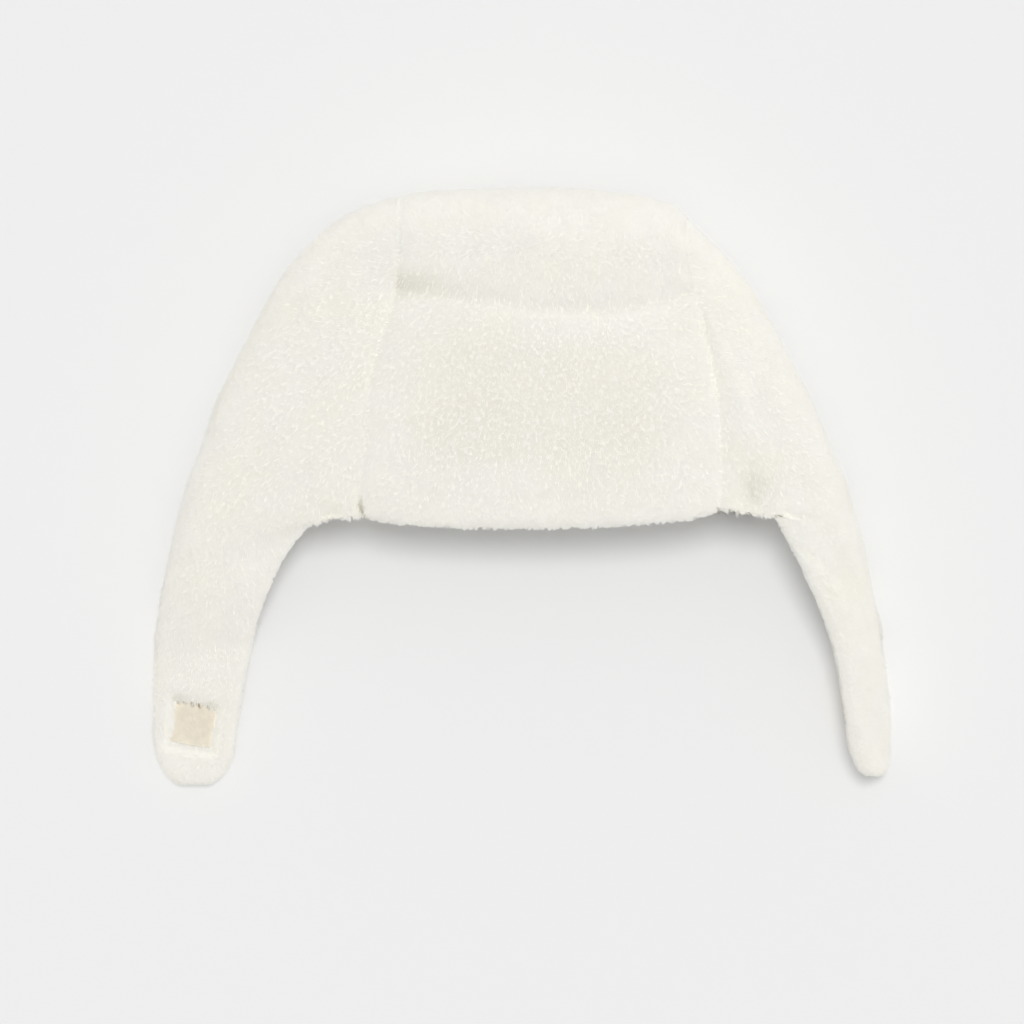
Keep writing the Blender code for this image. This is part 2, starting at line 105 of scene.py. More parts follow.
RIGHT_SECTIONS = (
    (73.0, 91.5, 70.0, 121.0, 3.0, 26.0, 180.0, 0.0, 0.0, 0.0),
    (74.0, 89.0, 77.5, 113.5, 3.0, 25.0, 180.0, -2.0, 0.0, 0.0),
    (75.0, 86.0, 86.0, 105.5, 3.0, 24.0, 180.0, -4.0, 0.5, 0.0),
    (77.0, 79.0, 94.0, 97.0, 3.0, 24.0, 180.0, -7.0, 1.0, 0.0),
    (79.0, 68.5, 103.5, 83.5, 4.0, 24.5, 180.0, -10.0, 1.5, 0.0),
    (82.5, 52.5, 115.5, 61.5, 5.0, 25.5, 180.0, -14.0, 2.0, 0.0),
    (85.0, 34.0, 127.0, 39.5, 6.0, 25.5, 180.0, -18.0, 2.5, 0.0),
    (86.0, 14.0, 136.0, 18.0, 6.0, 24.5, 180.0, -21.0, 2.5, 0.0),
    (86.0, -0.5, 142.5, 3.0, 6.0, 23.5, 180.0, -23.0, 2.5, 0.0),
    (85.5, -10.0, 145.5, -8.5, 6.0, 23.0, 180.0, -23.0, 2.0, 0.0),
    (91.5, -9.0, 148.0, -16.5, 8.0, 22.0, 180.0, -12.0, 2.0, 0.0),
    (101.0, -8.0, 150.0, -24.5, 11.0, 21.0, 180.0, 5.0, 1.5, 0.0),
    (109.5, -11.0, 152.0, -33.5, 16.0, 19.5, 180.0, 22.0, 1.0, 0.0),
    (116.5, -20.0, 153.5, -42.0, 24.0, 17.5, 172.0, NO_LAYER_UNDER, 0.5, 0.0),
    (123.0, -31.0, 155.5, -50.0, 34.0, 15.5, 150.0, NO_LAYER_UNDER, 0.0, 0.0),
    (129.5, -43.0, 158.0, -58.5, 44.0, 14.5, 122.0, NO_LAYER_UNDER, 0.0, 0.0),
    (136.5, -56.5, 160.0, -66.5, 52.0, 14.0, 98.0, NO_LAYER_UNDER, 0.0, 0.0),
    (142.5, -71.0, 161.5, -76.0, 58.0, 14.0, 86.0, NO_LAYER_UNDER, 0.0, 0.0),
    (146.0, -86.0, 163.0, -88.5, 60.0, 14.0, 85.0, NO_LAYER_UNDER, 0.0, 0.0),
    (148.5, -101.5, 164.5, -102.5, 61.0, 14.0, 85.0, NO_LAYER_UNDER, 0.0, 0.0),
    (149.5, -110.5, 164.5, -111.5, 60.0, 14.0, 84.0, NO_LAYER_UNDER, 0.0, 1.0),
    (151.5, -118.0, 164.0, -118.5, 58.0, 14.0, 82.0, NO_LAYER_UNDER, 0.0, 4.0),
    (154.0, -123.5, 163.0, -124.0, 56.0, 14.0, 80.0, NO_LAYER_UNDER, 0.0, 8.5),
    (156.5, -126.5, 161.5, -127.0, 54.0, 14.0, 78.0, NO_LAYER_UNDER, 0.0, 12.0),
    (157.5, -128.0, 160.5, -128.0, 54.0, 14.0, 68.0, NO_LAYER_UNDER, 0.0, 13.0),
)

# Dents and gathers: the table row and the distance from the front edge of each one's
# middle, its depth, and how far it reaches along and across rows
DENT_COLUMNS = ("row", "way", "depth", "row_reach", "way_reach")
LEFT_DENTS = (
    (8.9, 13.0, 4.5, 0.5, 5.0),  # gather beside the brow's left corner
    (8.4, 1.5, 3.0, 0.6, 3.5),  # slit where the seam ends
)
RIGHT_DENTS = (
    (7.9, 15.0, 5.0, 0.8, 8.0),  # dent beside the brow's right corner
    (9.5, 27.0, 3.5, 0.5, 9.0),  # the crease that runs out of it
    (13.5, 7.0, 3.5, 0.4, 9.0),  # wrinkles where the flap turns up on its edge
    (14.8, 11.0, 3.0, 0.4, 9.0),
)

# Centre panel, which spans between the seams of the side panels
PUFF_PLACES = (0.0, 0.5, 1.0, 1.5)  # the brow, halfway up, under the ridge, on top of it
PUFFS = (5.5, 9.0, 7.0, 7.5)  # how far it swells there between its seams
PUFF_POWER = 0.6  # below 1 the panel swells close to its seams
RIDGE_SKEW = 0.9  # how much more the ridge swells at its right end than at its left
BROW_DROP = 7.5  # the brow's curve below its corners
BROW_REACH = 0.35  # share of the front that the curve fades over
CREASE_ROW = 2  # the table row that the fold across the crown follows
CREASE_DEPTHS = (6.0, 3.0, 4.5)  # at the left seam, in the middle and at the right seam
CREASE_REACH = 4.5  # half-width of the fold
CREASE_SAG = 8.5  # how far the fold dips towards the brow
CREASE_SAG_REACH = 1.2  # in table rows
CREASE_SKEW = 1.5  # above 1 it dips lowest nearer the right seam
INNER_SHARE = 0.5  # share of the folds that the inner face follows
PILE_SHARE = 0.35  # share of them that shows through the pile
HEM_LINE = 14.5  # from the brow's edge to the stitched line of its turned hem
HEM_LINE_REACH = 2.0
HEM_LINE_DEPTH = 2.0

# Loft of the fine surfaces
ROW_STEP = 1 / 6  # in table rows
EDGE_STEPS = (0.0, 0.35, 0.9, 1.7, 2.8, 4.2, 6.0)  # distances from an edge of the first stations
EDGE_SHARES = (0.0, 0.02, 0.05, 0.09, 0.14, 0.20, 0.27)  # most that they take of a narrow row
SIDE_STEPS = 54  # even steps between them across a side panel
CENTRE_STEPS = 44  # and across the centre panel
TIP_ROWS_CUT = 8  # fine rows left off at a flap's tip, as deep as the fur
HEM_ROWS_CUT = 1  # and at the brow and the nape

# Skin under the fur
SKIN_DEPTH = 1.6  # below the tips of the fur
LINING_DEPTH = 0.5  # of the lining inside the wall's inner face
HEM_ROUND = 5.5  # how far in from a hem the skin rounds over
HEM_MEET = 0.54  # place across the wall where the skin meets the lining at a hem
HEM_RIM = 0.01  # share of the wall between their edges there
HEM_INSET = 0.9  # of the skin's edge along a flap
MOST_INSET = 0.3  # share of a row's length that it may take
SEAM_SINK = 0.7  # depth of the groove along a seam
SEAM_REACH = 2.5  # half-width of that groove
TURNED_IN = 13.0  # width of the fur that is turned in to the lining side along a hem
TURNED_FADE = 2.0

# Arches beside the brow's corners, where a hem is drawn up: table rows, and the rise there
LEFT_ARCH = ((7.5, 9.0, 10.0, 11.5, 12.5, 14.0), (0.0, 1.6, 2.0, 3.0, 1.8, 0.0))
RIGHT_ARCH = ((7.5, 9.0, 10.3, 11.5, 12.6), (0.0, 1.8, 4.4, 3.2, 0.0))
ARCH_REACH = 9.0  # how far in from the hem that rise fades
UNDER_RISE = 2.3  # of the layer beneath, as a share of it
UNDER_REACH = 30.0  # how far in that one fades

# Nap
PARTING = 0.37  # angle round the ridge, from the front, where the crown's nap parts
PARTING_REACH = 6.0
WHORL_NOISE = (60.0, 9)  # wave length and seed of the nap's turns along the parting
NAP_FAN = 0.9  # how far the crown's nap spreads to both sides on its way
CROWN_NAP_OUT = 0.5  # how far the nap beside it leans outward
FLAP_FANS = (0.6, 0.2)  # how far a flap's nap spreads to both edges, left and right
DROOP = 1.0  # downward part of the nap, which shows on steep walls

# Fur: its lean from upright in degrees, the length of its pile, and its warmth from 0 to 1
FUR_LEAN = 60.0
FUR_PILE = 3.3
SIDE_WARMTH = 0.35
CROWN_WARMTH = 0.25
CENTRE_CHANGES = (-14.0, -0.6, 0.75)  # of the three in the middle of the centre panel
CENTRE_FADES = ((12.0, 35.0), (20.0, 40.0), (5.0, 25.0))  # in from its seams, hems and fold
HEM_PILES = (0.55, 0.4)  # share of the pile's length at a hem's edge, above and beneath

# Tufts: smooth noises given by height, wave length and seed, and the spread of the rest.
# Turn and lean are in degrees, length and the kind of a strand in shares.
TURN_NOISES, TURN_SPREAD = ((14.0, 30.0, 1), (9.0, 7.0, 2)), 6.0
LEAN_NOISES, LEAN_SPREAD = ((2.0, 18.0, 3), (2.0, 6.0, 4)), 2.0
LENGTH_NOISES, LENGTH_SPREAD = ((0.05, 12.0, 5),), 0.08
KIND_NOISES, KIND_SPREAD = ((0.12, 9.0, 6),), 0.2
LEAN_LIMITS = (4.0, 78.0)
TUFT_SPIN = 2.4  # radians round the tuft from one strand to the next

# Strands
ROOT_SINK = 0.6  # of a strand's start below the skin
MIDDLE = 0.55  # share of the way from root to tip where a strand is widest
BEND = 0.16  # of that place out of the straight line, as a share of the length
WIDTH_SPREAD = 0.25
MOST_ROLL = 1.6  # about a strand's own length, in typical rolls
UP_STRAND = (0.0, 0.6, 0.6, 1.0)  # height up a strand of its four points
LEAST_HEIGHTS = (0.15, 0.1)  # above the floor: the least, and what is added at random

# Painted shade: fur coloured darker deep in folds, dents and the slit, and darker still in pits, where
# shade falls
FOLD_DEPTH = 5.5  # depth of a dent whose fur takes all the painted shade
FOLD_UNEVEN = 0.35  # how much that shade differs from place to place
FOLD_NOISE = (5.0, 10)  # wave length and seed of that
FOLD_SHADE = (  # of the fold across the crown: shares of the way from seam to seam, and shades
    (0.0, 0.05, 0.15, 0.3, 0.6, 1.0),
    (1.0, 0.7, 0.3, 0.15, 0.08, 0.08),
)
FOLD_SHADE_PLACE = 2.0  # of its darkest line above the fold
FOLD_SHADE_REACH = 5.0
SLIT_X = -69.6  # the slit where the left seam ends at the brow
SLIT_REACH = 0.55  # half-width of its shade
SLIT_ENDS = ((-16.0, -13.0), (-6.0, -1.0))  # y where its shade comes in and goes out
SLIT_SHADE = 3.0
PIT_SHADES = (0.8, 2.6)  # shade from which fur gets darker still, and where it is darkest
PIT_SHADE_COLOUR = (0.66, 0.62, 0.54)  # colour that the deepest painted shade multiplies the fur by, as shares of its colour

# Shading normals of the fur, whose fibres scatter light more evenly than a flat surface
SHADE_ALONG = 0.25  # of a strand's own direction
SHADE_UP = 0.55  # of the upward direction
SHADE_DOWN = (0.7, 0.95)  # how far a face looks down where it starts to keep its own, and does
BACK_STARTS = (-0.35, -0.2)  # upward part of the normal where the fur beneath starts

# Materials
CLOUD_SCALE = 45.0  # of the patches of warmer fur
CLOUD_SEEN = (0.35, 0.65)  # part of the noise's range that they show
CLOUD_WARMTH = 0.25  # that they add or take
ROOT_SHADE = 0.48  # share of the painted shade colour at a strand's start, deep in the pile where shade falls
KIND_SHADE = 0.11  # and what the darkest kind of strand has more
PILE_ROUGHNESS = (0.82, 0.95)
# Short naps: how far up a strand its colour is, below 1 taking some painted root shade,
# warmth, scales of its clumps and fibres, and the bump's depth in metres
SKIN_NAP = (0.95, 0.4, (450.0, 2200.0), 0.0003)
LINING_NAP = (0.9, 0.35, (420.0, 1800.0), 0.0007)
WEAVE_DEPTH = 0.00015  # of the tapes' bump, in metres
WEAR_SCALE = 260.0  # of the cloudy wear on the tapes
GAP_SHADE = 0.86  # colour between a tape's threads, as a share of theirs
LOOP_CLOTH = (0.85, 650.0)  # least roughness and the scale of the threads
HOOK_CLOTH = (0.6, 420.0)

# Fastener patches
PATCH_SIDE = 19.0
PATCH_GAP = 0.3  # to the flap's face under it
LOOP_CENTRE = (-145.0, -103.5)
LOOP_TURN = -10.0  # about Z
POCKET_DEPTH = 4.0  # the loop patch lies this far below the fur
FLAP_TOP = 11.5  # the flat flap's upper face
HOOK_ROW = 18.5  # the table row of the right flap at the patch's centre
HOOK_WAY = 17.0  # from the front edge across the flap
HOOK_SEAT = (0.5, 2.0)  # half the rows and half the way that its seat is read over
PATCH_FRAY = 0.45  # how far fur grows over a patch's edges here and there
FRAY_NOISE = (2.6, 8)  # wave length and seed of that
PATCH_OVERHANG = 1.0  # from a strand's root to the part of it that stops at a patch
PATCH_SHADOW_BAND = (0.76, 0.94)  # shares of half the side where the painted shadow along its upper edge starts and is full
SHADOW_BAND_UNEVEN = 0.04
SHADOW_BAND_NOISE = (3.0, 73)
EDGE_SHADE = 0.9  # painted shade of the fur over a patch's upper edge
EDGE_SHADE_PLACE = 1.2  # of its darkest line above that edge
EDGE_SHADE_REACH = 1.0
SKIN_POCKET = 2.8  # how much deeper the skin lies under the loop patch
POCKET_SLOPE = 4.0  # how far out from the patch it comes up again

# Tapes of the patches
TAPE_THICK = 1.0  # without loops or hooks
TAPE_EDGE = 0.25  # share of that at its edge
TAPE_UNEVEN = 0.06  # height of its small waves
TAPE_NOISE = (1.7, 70)
PATCH_STEPS = 30  # even steps across a patch's face
PATCH_CORNER = 0.12  # how much its corners are rounded, from 0 to 1
PATCH_EDGE = 1.4  # how far in its face rounds over
WIRES_SINK = 0.1  # of the loops and hooks in it
WIRE_SIDES = 4  # of a loop or hook

# Loops, whose place, pitch and size differ at random
LOOP_PITCH = 0.62
LOOP_BORDER = 0.7
LOOP_JITTER = 0.35  # in pitches
LOOP_STEPS = 7
LOOP_RADIUS = 0.38
LOOP_HEIGHT = 0.62
LOOP_WIDTHS = (0.6, 1.3)  # least and most, as shares of that radius
LOOP_HEIGHTS = (0.6, 1.25)
LOOP_TILT = 0.35  # to both sides
LOOP_DROOP = 0.25  # towards the flap's tip
LOOP_WIRE = 0.055  # radius of its thread
LOOP_SEED = 71

# Hooks, in rows that face by turns
HOOK_PITCH = 1.25
HOOK_BORDER = 2.0
HOOK_JITTER = 0.05
HOOK_STEPS = 9
HOOK_TURN = 0.15  # radians out of its row
HOOK_STEM = 0.45
HOOK_STEM_SHARE = 0.35  # of the wire's length
HOOK_RADIUS = 0.28
HOOK_BEND = math.radians(205.0)
HOOK_WIRE = 0.10
HOOK_SEED = 72
HOOK_TAPER = 0.6  # share of the wire's radius lost at the hook's tip


def columns(names, table):
    """The table as one array to each named column."""
    return dict(zip(names, np.array(table).T))


def smooth(values, row):
    """A column read at fractional rows, on a Catmull-Rom curve through its values."""
    last = len(values) - 1
    i = np.clip(np.floor(row).astype(int), 0, last - 1)
    t = row - i
    before, start, end, after = (values[np.clip(i + k, 0, last)] for k in (-1, 0, 1, 2))
    bend = 2.0 * before - 5.0 * start + 4.0 * end - after
    twist = 3.0 * (start - end) + after - before
    return start + 0.5 * t * ((end - before) + t * (bend + t * twist))


def ramp(x, start, end):
    """0 up to start, 1 from end on, and a smooth S between: t * t * (3 - 2t)."""
    t = np.clip((x - start) / (end - start), 0.0, 1.0)
    return t * t * (3.0 - 2.0 * t)


def edge_stations(length, steps):
    """Distances along rows of these lengths, close together near both ends."""
    length = length.reshape(-1, 1)
    near = np.minimum(EDGE_STEPS, np.array(EDGE_SHARES) * length)
    evenly = np.linspace(0.0, 1.0, steps + 1)[1:-1]
    middle = near[:, -1:] + (length - 2.0 * near[:, -1:]) * evenly
    return np.concatenate([near, middle, length - near[:, ::-1]], axis=1)


def along_columns(face):
    """Distance down each column of a grid from its first row."""
    steps = np.linalg.norm(np.diff(face, axis=0), axis=-1)
    return np.concatenate([np.zeros((1, steps.shape[1])), np.cumsum(steps, axis=0)])


def side_wall(table, row, inset=0.0, way=None):
    """Outer and inner face of a side panel, as grids of rows by stations across.

    With s the distance along a section: a run of length R at angle lean, an arc of
    radius fold from lean to turn, then a level run under the hat. The inner face is
    the outer one less WALL times the section's normal (sin angle outward, cos angle
    up). Stations lie inset within both edges. Also returned are their distances from
    the front edge and from the back edge.
    """
    section = columns(SECTION_COLUMNS, table)
    c = {name: smooth(values, row)[:, None] for name, values in section.items()}
    lean, turn, fold = np.radians(c["lean"]), np.radians(c["turn"]), c["fold"]
    reach = np.hypot(c["out_x"] - c["in_x"], c["out_y"] - c["in_y"])
    along_x, along_y = (c["out_x"] - c["in_x"]) / reach, (c["out_y"] - c["in_y"]) / reach

    run = reach - fold * (np.sin(np.minimum(turn, math.pi / 2)) - np.sin(lean))
    run_length = run / np.cos(lean)
    fold_length = fold * (turn - lean)
    end = run + fold * (np.sin(turn) - np.sin(lean))
    length = run_length + fold_length + np.clip(end - c["back"], 0.0, None)
    fold_start = WALL * np.clip(np.cos(turn), 0.0, None) + c["lift"] + fold * (np.cos(lean) - np.cos(turn))

    if way is None:
        inset = np.minimum(inset, MOST_INSET * length)
        way = inset + edge_stations(length - 2.0 * inset, SIDE_STEPS)
    on_run = np.clip(way, 0.0, run_length)
    angle = lean + np.clip(way - run_length, 0.0, fold_length) / fold
    on_under = np.clip(way - run_length - fold_length, 0.0, None)

    out = on_run * np.cos(lean) + fold * (np.sin(angle) - np.sin(lean)) - on_under
    height = fold_start + (run_length - on_run) * np.sin(lean) - fold * (np.cos(lean) - np.cos(angle))
    height = height + c["puff"] * np.sin(math.pi * on_run / run_length) ** 2

    outer = np.stack([c["in_x"] + along_x * out, c["in_y"] + along_y * out, height], axis=-1)
    normal = np.stack([along_x * np.sin(angle), along_y * np.sin(angle), np.cos(angle)], axis=-1)
    return outer, outer - WALL * normal, way, length - way


def dented(outer, inner, dents, row, way):
    """The outer face pushed in towards the inner one, as a round bell at each dent."""
    d = columns(DENT_COLUMNS, dents)
    along = (row[:, None, None] - d["row"]) / d["row_reach"]
    across = (way[..., None] - d["way"]) / d["way_reach"]
    deep = np.sum(d["depth"] * np.exp(-(along**2) - across**2), axis=-1)
    return outer + (inner - outer) * (deep / WALL)[..., None]


def seam_of(face, seam_rows):
    """The seam of a side panel from brow to nape: up its front, over the ridge, down its back."""
    front = face[seam_rows - 1 :: -1, 0]
    ridge = face[0, 1:-1]
    back = face[:seam_rows, -1]
    return np.concatenate([front, ridge, back])


def centre_wall(left, right, seam_row):
    """Outer and inner face of the centre panel, as grids of rows by stations across.

    With w the share of the way from seam to seam, a row is the straight line between
    the seams plus puff * (4w(1 - w))^PUFF_POWER along the ridge's normal, where puff
    differs by RIDGE_SKEW from left to right over the ridge, less the bell-shaped fold
    and hem line, and moved down by the brow's curve and the fold's dip. Also returned
    are w, the distances from the nearest seam, the ridge's angle, and the distance
    from the fold.
    """
    seam_rows = len(seam_row)
    ridge_rows = left[0].shape[1] - 2
    gap = np.array((SEAM_GAP, 0.0, 0.0))
    seams = [(seam_of(a, seam_rows) + gap, seam_of(b, seam_rows) - gap) for a, b in zip(left, right)]
    width = np.linalg.norm(seams[0][1] - seams[0][0], axis=-1)
    way = edge_stations(width, CENTRE_STEPS)
    w = way / width[:, None]
    swell = (4.0 * w * (1.0 - w)) ** PUFF_POWER

    beyond = np.full(ridge_rows + seam_rows, PAST_THE_FRONT)
    front_row = np.concatenate([seam_row[::-1], beyond])[:, None]
    up_front = np.clip(1.0 - front_row / SEAM_END_ROW, 0.0, 1.0)
    seam_height = seams[0][0][:, 2] / seams[0][0][seam_rows - 1, 2]
    over = np.arccos(np.clip(2.0 * seam_height[seam_rows : seam_rows + ridge_rows] - 1.0, -1.0, 1.0))
    ridge = np.concatenate([np.zeros(seam_rows), over, np.full(seam_rows, math.pi)])[:, None]

    puff = np.interp(up_front + ridge / math.pi, PUFF_PLACES, PUFFS)
    puff = np.where(ridge > math.pi / 2, PUFFS[-1] * np.sin(ridge) ** 2, puff)
    puff = puff * (1.0 + RIDGE_SKEW * (w - 0.5) * np.sin(ridge))
    drop = BROW_DROP * np.clip(1.0 - up_front / BROW_REACH, 0.0, 1.0) ** 2 * (4.0 * w * (1.0 - w)) ** 0.5
    sag = CREASE_SAG * np.exp(-(((front_row - CREASE_ROW) / CREASE_SAG_REACH) ** 2))
    down = drop + sag * np.sin(math.pi * w**CREASE_SKEW)

    faces = [a[:, None] * (1.0 - w[..., None]) + b[:, None] * w[..., None] for a, b in seams]
    height_up = faces[0][..., 1] - down
    from_crease = height_up - height_up[seam_rows - 1 - list(seam_row).index(CREASE_ROW)]
    depth = np.interp(w, (0.0, 0.5, 1.0), CREASE_DEPTHS) * np.minimum(1.0, 2.0 * swell)
    crease = np.where(ridge < math.pi / 2, depth * np.exp(-((from_crease / CREASE_REACH) ** 2)), 0.0)
    from_line = along_columns(faces[0]) + down[:1] - down - HEM_LINE
    hem_line = HEM_LINE_DEPTH * np.exp(-((from_line / HEM_LINE_REACH) ** 2)) * swell

    for face, share in zip(faces, (PILE_SHARE, INNER_SHARE)):
        swelling = puff * swell - share * (crease + hem_line)
        face[..., 1] += swelling * np.sin(ridge) - down
        face[..., 2] += swelling * np.cos(ridge)
    to_seam = np.minimum(way, width[:, None] - way)
    return faces, w, to_seam, ridge + 0.0 * w, from_crease


def wander(points, size, seed):
    """Smooth noise of about unit height: a sum of sines of wave length size in random directions."""
    rng = np.random.default_rng(seed)
    waves = rng.normal(size=(3, NOISE_WAVES))
    waves *= 2.0 * math.pi / (size * np.linalg.norm(waves, axis=0))
    phase = rng.uniform(0.0, 2.0 * math.pi, NOISE_WAVES)
    return np.sin(points @ waves + phase).sum(axis=-1) / math.sqrt(NOISE_WAVES / 2.0)


def layered(points, noises):
    """Sum of smooth noises, each given by its height, wave length and seed."""
    return sum(height * wander(points, size, seed) for height, size, seed in noises)


def unit(vectors):
    """The vectors at length 1."""
    return vectors / np.maximum(np.linalg.norm(vectors, axis=-1, keepdims=True), 1e-9)


def shell_quads(rows, stations):
    """Faces of a closed wall between two grids of one size, in three groups: outer, inner, rim."""
    count = rows * stations
    i = np.arange(count).reshape(rows, stations)
    quads = np.stack([i[:-1, :-1], i[:-1, 1:], i[1:, 1:], i[1:, :-1]], axis=-1).reshape(-1, 4)
    rim = np.concatenate([i[0, :], i[1:, -1], i[-1, -2::-1], i[-2:0:-1, 0]])
    ahead = np.roll(rim, -1)
    edge = np.stack([ahead, rim, rim + count, ahead + count], axis=-1)
    return quads, quads[:, ::-1] + count, edge


def face_areas(points, quads):
    """Area vectors of quads: half the cross product of their diagonals."""
    a, b, c, d = (points[quads[:, k]] for k in range(4))
    return 0.5 * np.cross(c - a, d - b)


def facing_out(points, quads):
    """The quads of a closed shell, turned round if they face inward: its volume's sign says which."""
    volume = np.sum(points[quads[:, 0]] * face_areas(points, quads))
    return quads[:, ::-1] if volume < 0.0 else quads


def vertex_normals(points, quads):
    """Sum of the area vectors of the faces round each vertex, at length 1."""
    areas = face_areas(points, quads)
    total = np.stack(
        [np.bincount(quads.ravel(), np.repeat(areas[:, k], 4), len(points)) for k in range(3)],
        axis=-1,
    )
    return unit(total)


def wall_shell(outer, inner, hem, seam, fields, pocket=0.0):
    """A closed skin between the outer and inner face, with what the fur needs at each vertex.

    Depth is a share of the way from the outer face to the inner one. At a hem both
    depths meet on a quarter ellipse of half-width HEM_ROUND, and at a seam the outer
    one sinks as a bell, as it does by pocket. hem and seam are distances. fields
    holds grids of values for the fur: one for both faces, or the outer's and the inner's.
    """
    round_over = np.sqrt(1.0 - np.clip(1.0 - hem / HEM_ROUND, 0.0, 1.0) ** 2)
    sink = SEAM_SINK / WALL * np.exp(-((seam / SEAM_REACH) ** 2)) * ramp(hem, 0.0, HEM_ROUND)
    edge = HEM_MEET - HEM_RIM
    skin = edge - (edge - SKIN_DEPTH / WALL) * round_over + sink
    covered = ramp(TURNED_IN - hem, 0.0, TURNED_FADE)
    under = LINING_DEPTH + (SKIN_DEPTH - LINING_DEPTH) * covered
    lining = HEM_MEET + (1.0 - under / WALL - HEM_MEET) * round_over
    through = inner - outer
    rooted, points = (
        np.concatenate([(outer + through * depth[..., None]).reshape(-1, 3) for depth in (top, lining)])
        for top in (skin, skin + pocket / WALL)
    )

    groups = shell_quads(*outer.shape[:2])
    quads = facing_out(points, np.concatenate(groups))
    on_lining = np.repeat((False, True, False), [len(group) for group in groups])

    from_hem = ramp(hem, 0.0, HEM_ROUND)
    fields = fields | {"short": tuple(share + (1.0 - share) * from_hem for share in HEM_PILES)}
    shell = {"points": points, "rooted": rooted, "quads": quads, "on_lining": on_lining}
    shell["normal"] = vertex_normals(points, quads)
    shell["cover"] = np.concatenate([np.ones(skin.size), covered.ravel()])
    for name, grids in fields.items():
        both = grids if isinstance(grids, tuple) else (grids, grids)
        shell[name] = np.concatenate([g.reshape(points.shape[0] // 2, -1).squeeze() for g in both])
    return shell


def grid_directions(face):
    """Unit directions down the rows and across the stations of a grid."""
    return unit(np.gradient(face, axis=0)), unit(np.gradient(face, axis=1))


def side_shell(table, dents, arch, fan, patch):
    """Skin and fur fields of a side panel, whose nap runs down the flap and spreads on it by fan.

    arch gives the height by which the hem beside the brow's corner is drawn up at some
    rows, as much as its fur hangs over it, and which fades inward as a bell.
    """
    row = np.arange(0.0, len(table) - 1 + ROW_STEP / 2, ROW_STEP)[:-TIP_ROWS_CUT]
    on_flap = ramp(row, SEAM_END_ROW - 0.5, SEAM_END_ROW + 1.0)[:, None]
    inset = HEM_INSET * on_flap
    plain, inner, from_front, from_back = side_wall(table, row, inset)
    rise = np.interp(row, *arch)[:, None]
    above = np.exp(-((from_front / ARCH_REACH) ** 2))
    past_seam = ramp(row, SEAM_END_ROW - 1.0, SEAM_END_ROW + 1.0)[:, None]
    beneath = UNDER_RISE * past_seam * np.exp(-((from_back / UNDER_REACH) ** 2))
    for face in (plain, inner):
        face[..., 1] += rise * np.where(from_front < from_back, above, beneath)
    outer = dented(plain, inner, dents, row, from_front)

    to_edge = np.minimum(from_front, from_back) - inset
    sewn = (row <= SEAM_END_ROW)[:, None]
    down_flap = along_columns(outer)
    to_tip = down_flap[-1] - down_flap
    hem = np.minimum(np.where(sewn, np.inf, to_edge), to_tip)
    from_ridge = np.linalg.norm(outer - outer[:1], axis=-1)
    seam = np.minimum(np.where(sewn, to_edge, np.inf), from_ridge)

    # Painted shade of the fur, deep in the dents, in the slit and over the patch's upper edge
    fold = (np.linalg.norm(outer - plain, axis=-1) / FOLD_DEPTH) ** 2
    fold = fold * (1.0 + FOLD_UNEVEN * wander(outer, *FOLD_NOISE))
    even = np.ones(hem.shape)
    fields = {
        "flow": side_nap(table, row, from_front, from_back, to_tip, rise / max(arch[1]), fan),
        "lean": FUR_LEAN * even,
        "pile": FUR_PILE * even,
        "warm": SIDE_WARMTH * even,
        "fold": fold + slit_shade(outer) + edge_shade(outer, patch),
    }
    pocket = ramp(-outside_patch(outer, patch), -POCKET_SLOPE, 0.0) * behind_patch(outer, patch)
    shell = wall_shell(outer, inner, hem, seam, fields, SKIN_POCKET * pocket)
    shell["patch"] = patch
    return shell


def side_nap(table, row, from_front, from_back, to_tip, at_corner, fan):
    """Direction of a side panel's nap, outside and on the fur turned in at its hems.

    Outside it is the way down the rows plus a share outward, which is CROWN_NAP_OUT on
    the crown and fan times the place between the edges on the flap. The turned-in fur
    leans to the edges instead, runs back at the tip, and up at the brow's corner.
    """
    ends = np.stack([smooth(section, row) for section in np.array(table).T[:4]], axis=-1)
    down = unit(np.gradient(ends[:, :2] + ends[:, 2:], axis=0))
    out = unit(ends[:, 2:] - ends[:, :2])
    flap = ramp(row, SEAM_END_ROW - 1.0, SEAM_END_ROW + 3.0)[:, None]
    spread = fan * (from_front - from_back) / (from_front + from_back)
    outward = (CROWN_NAP_OUT * (1.0 - flap) + spread * flap)[..., None] * out[:, None]
    turned = np.where(to_tip < TURNED_IN, -1.0, 1.0)[..., None] * down[:, None]
    at_corner = at_corner[..., None]
    turned = turned * (1.0 - at_corner) + at_corner * (0.0, 1.0)
    return tuple(
        np.concatenate([level, np.full((*to_tip.shape, 1), -DROOP)], axis=-1)
        for level in (down[:, None] + outward, turned - outward)
    )


def slit_shade(points):
    """Painted shade in the slit: a bell across it times a smooth step at each end."""
    low, (fade_start, fade_end) = SLIT_ENDS
    along = ramp(points[..., 1], *low) * ramp(-points[..., 1], -fade_end, -fade_start)
    return SLIT_SHADE * np.exp(-(((points[..., 0] - SLIT_X) / SLIT_REACH) ** 2)) * along


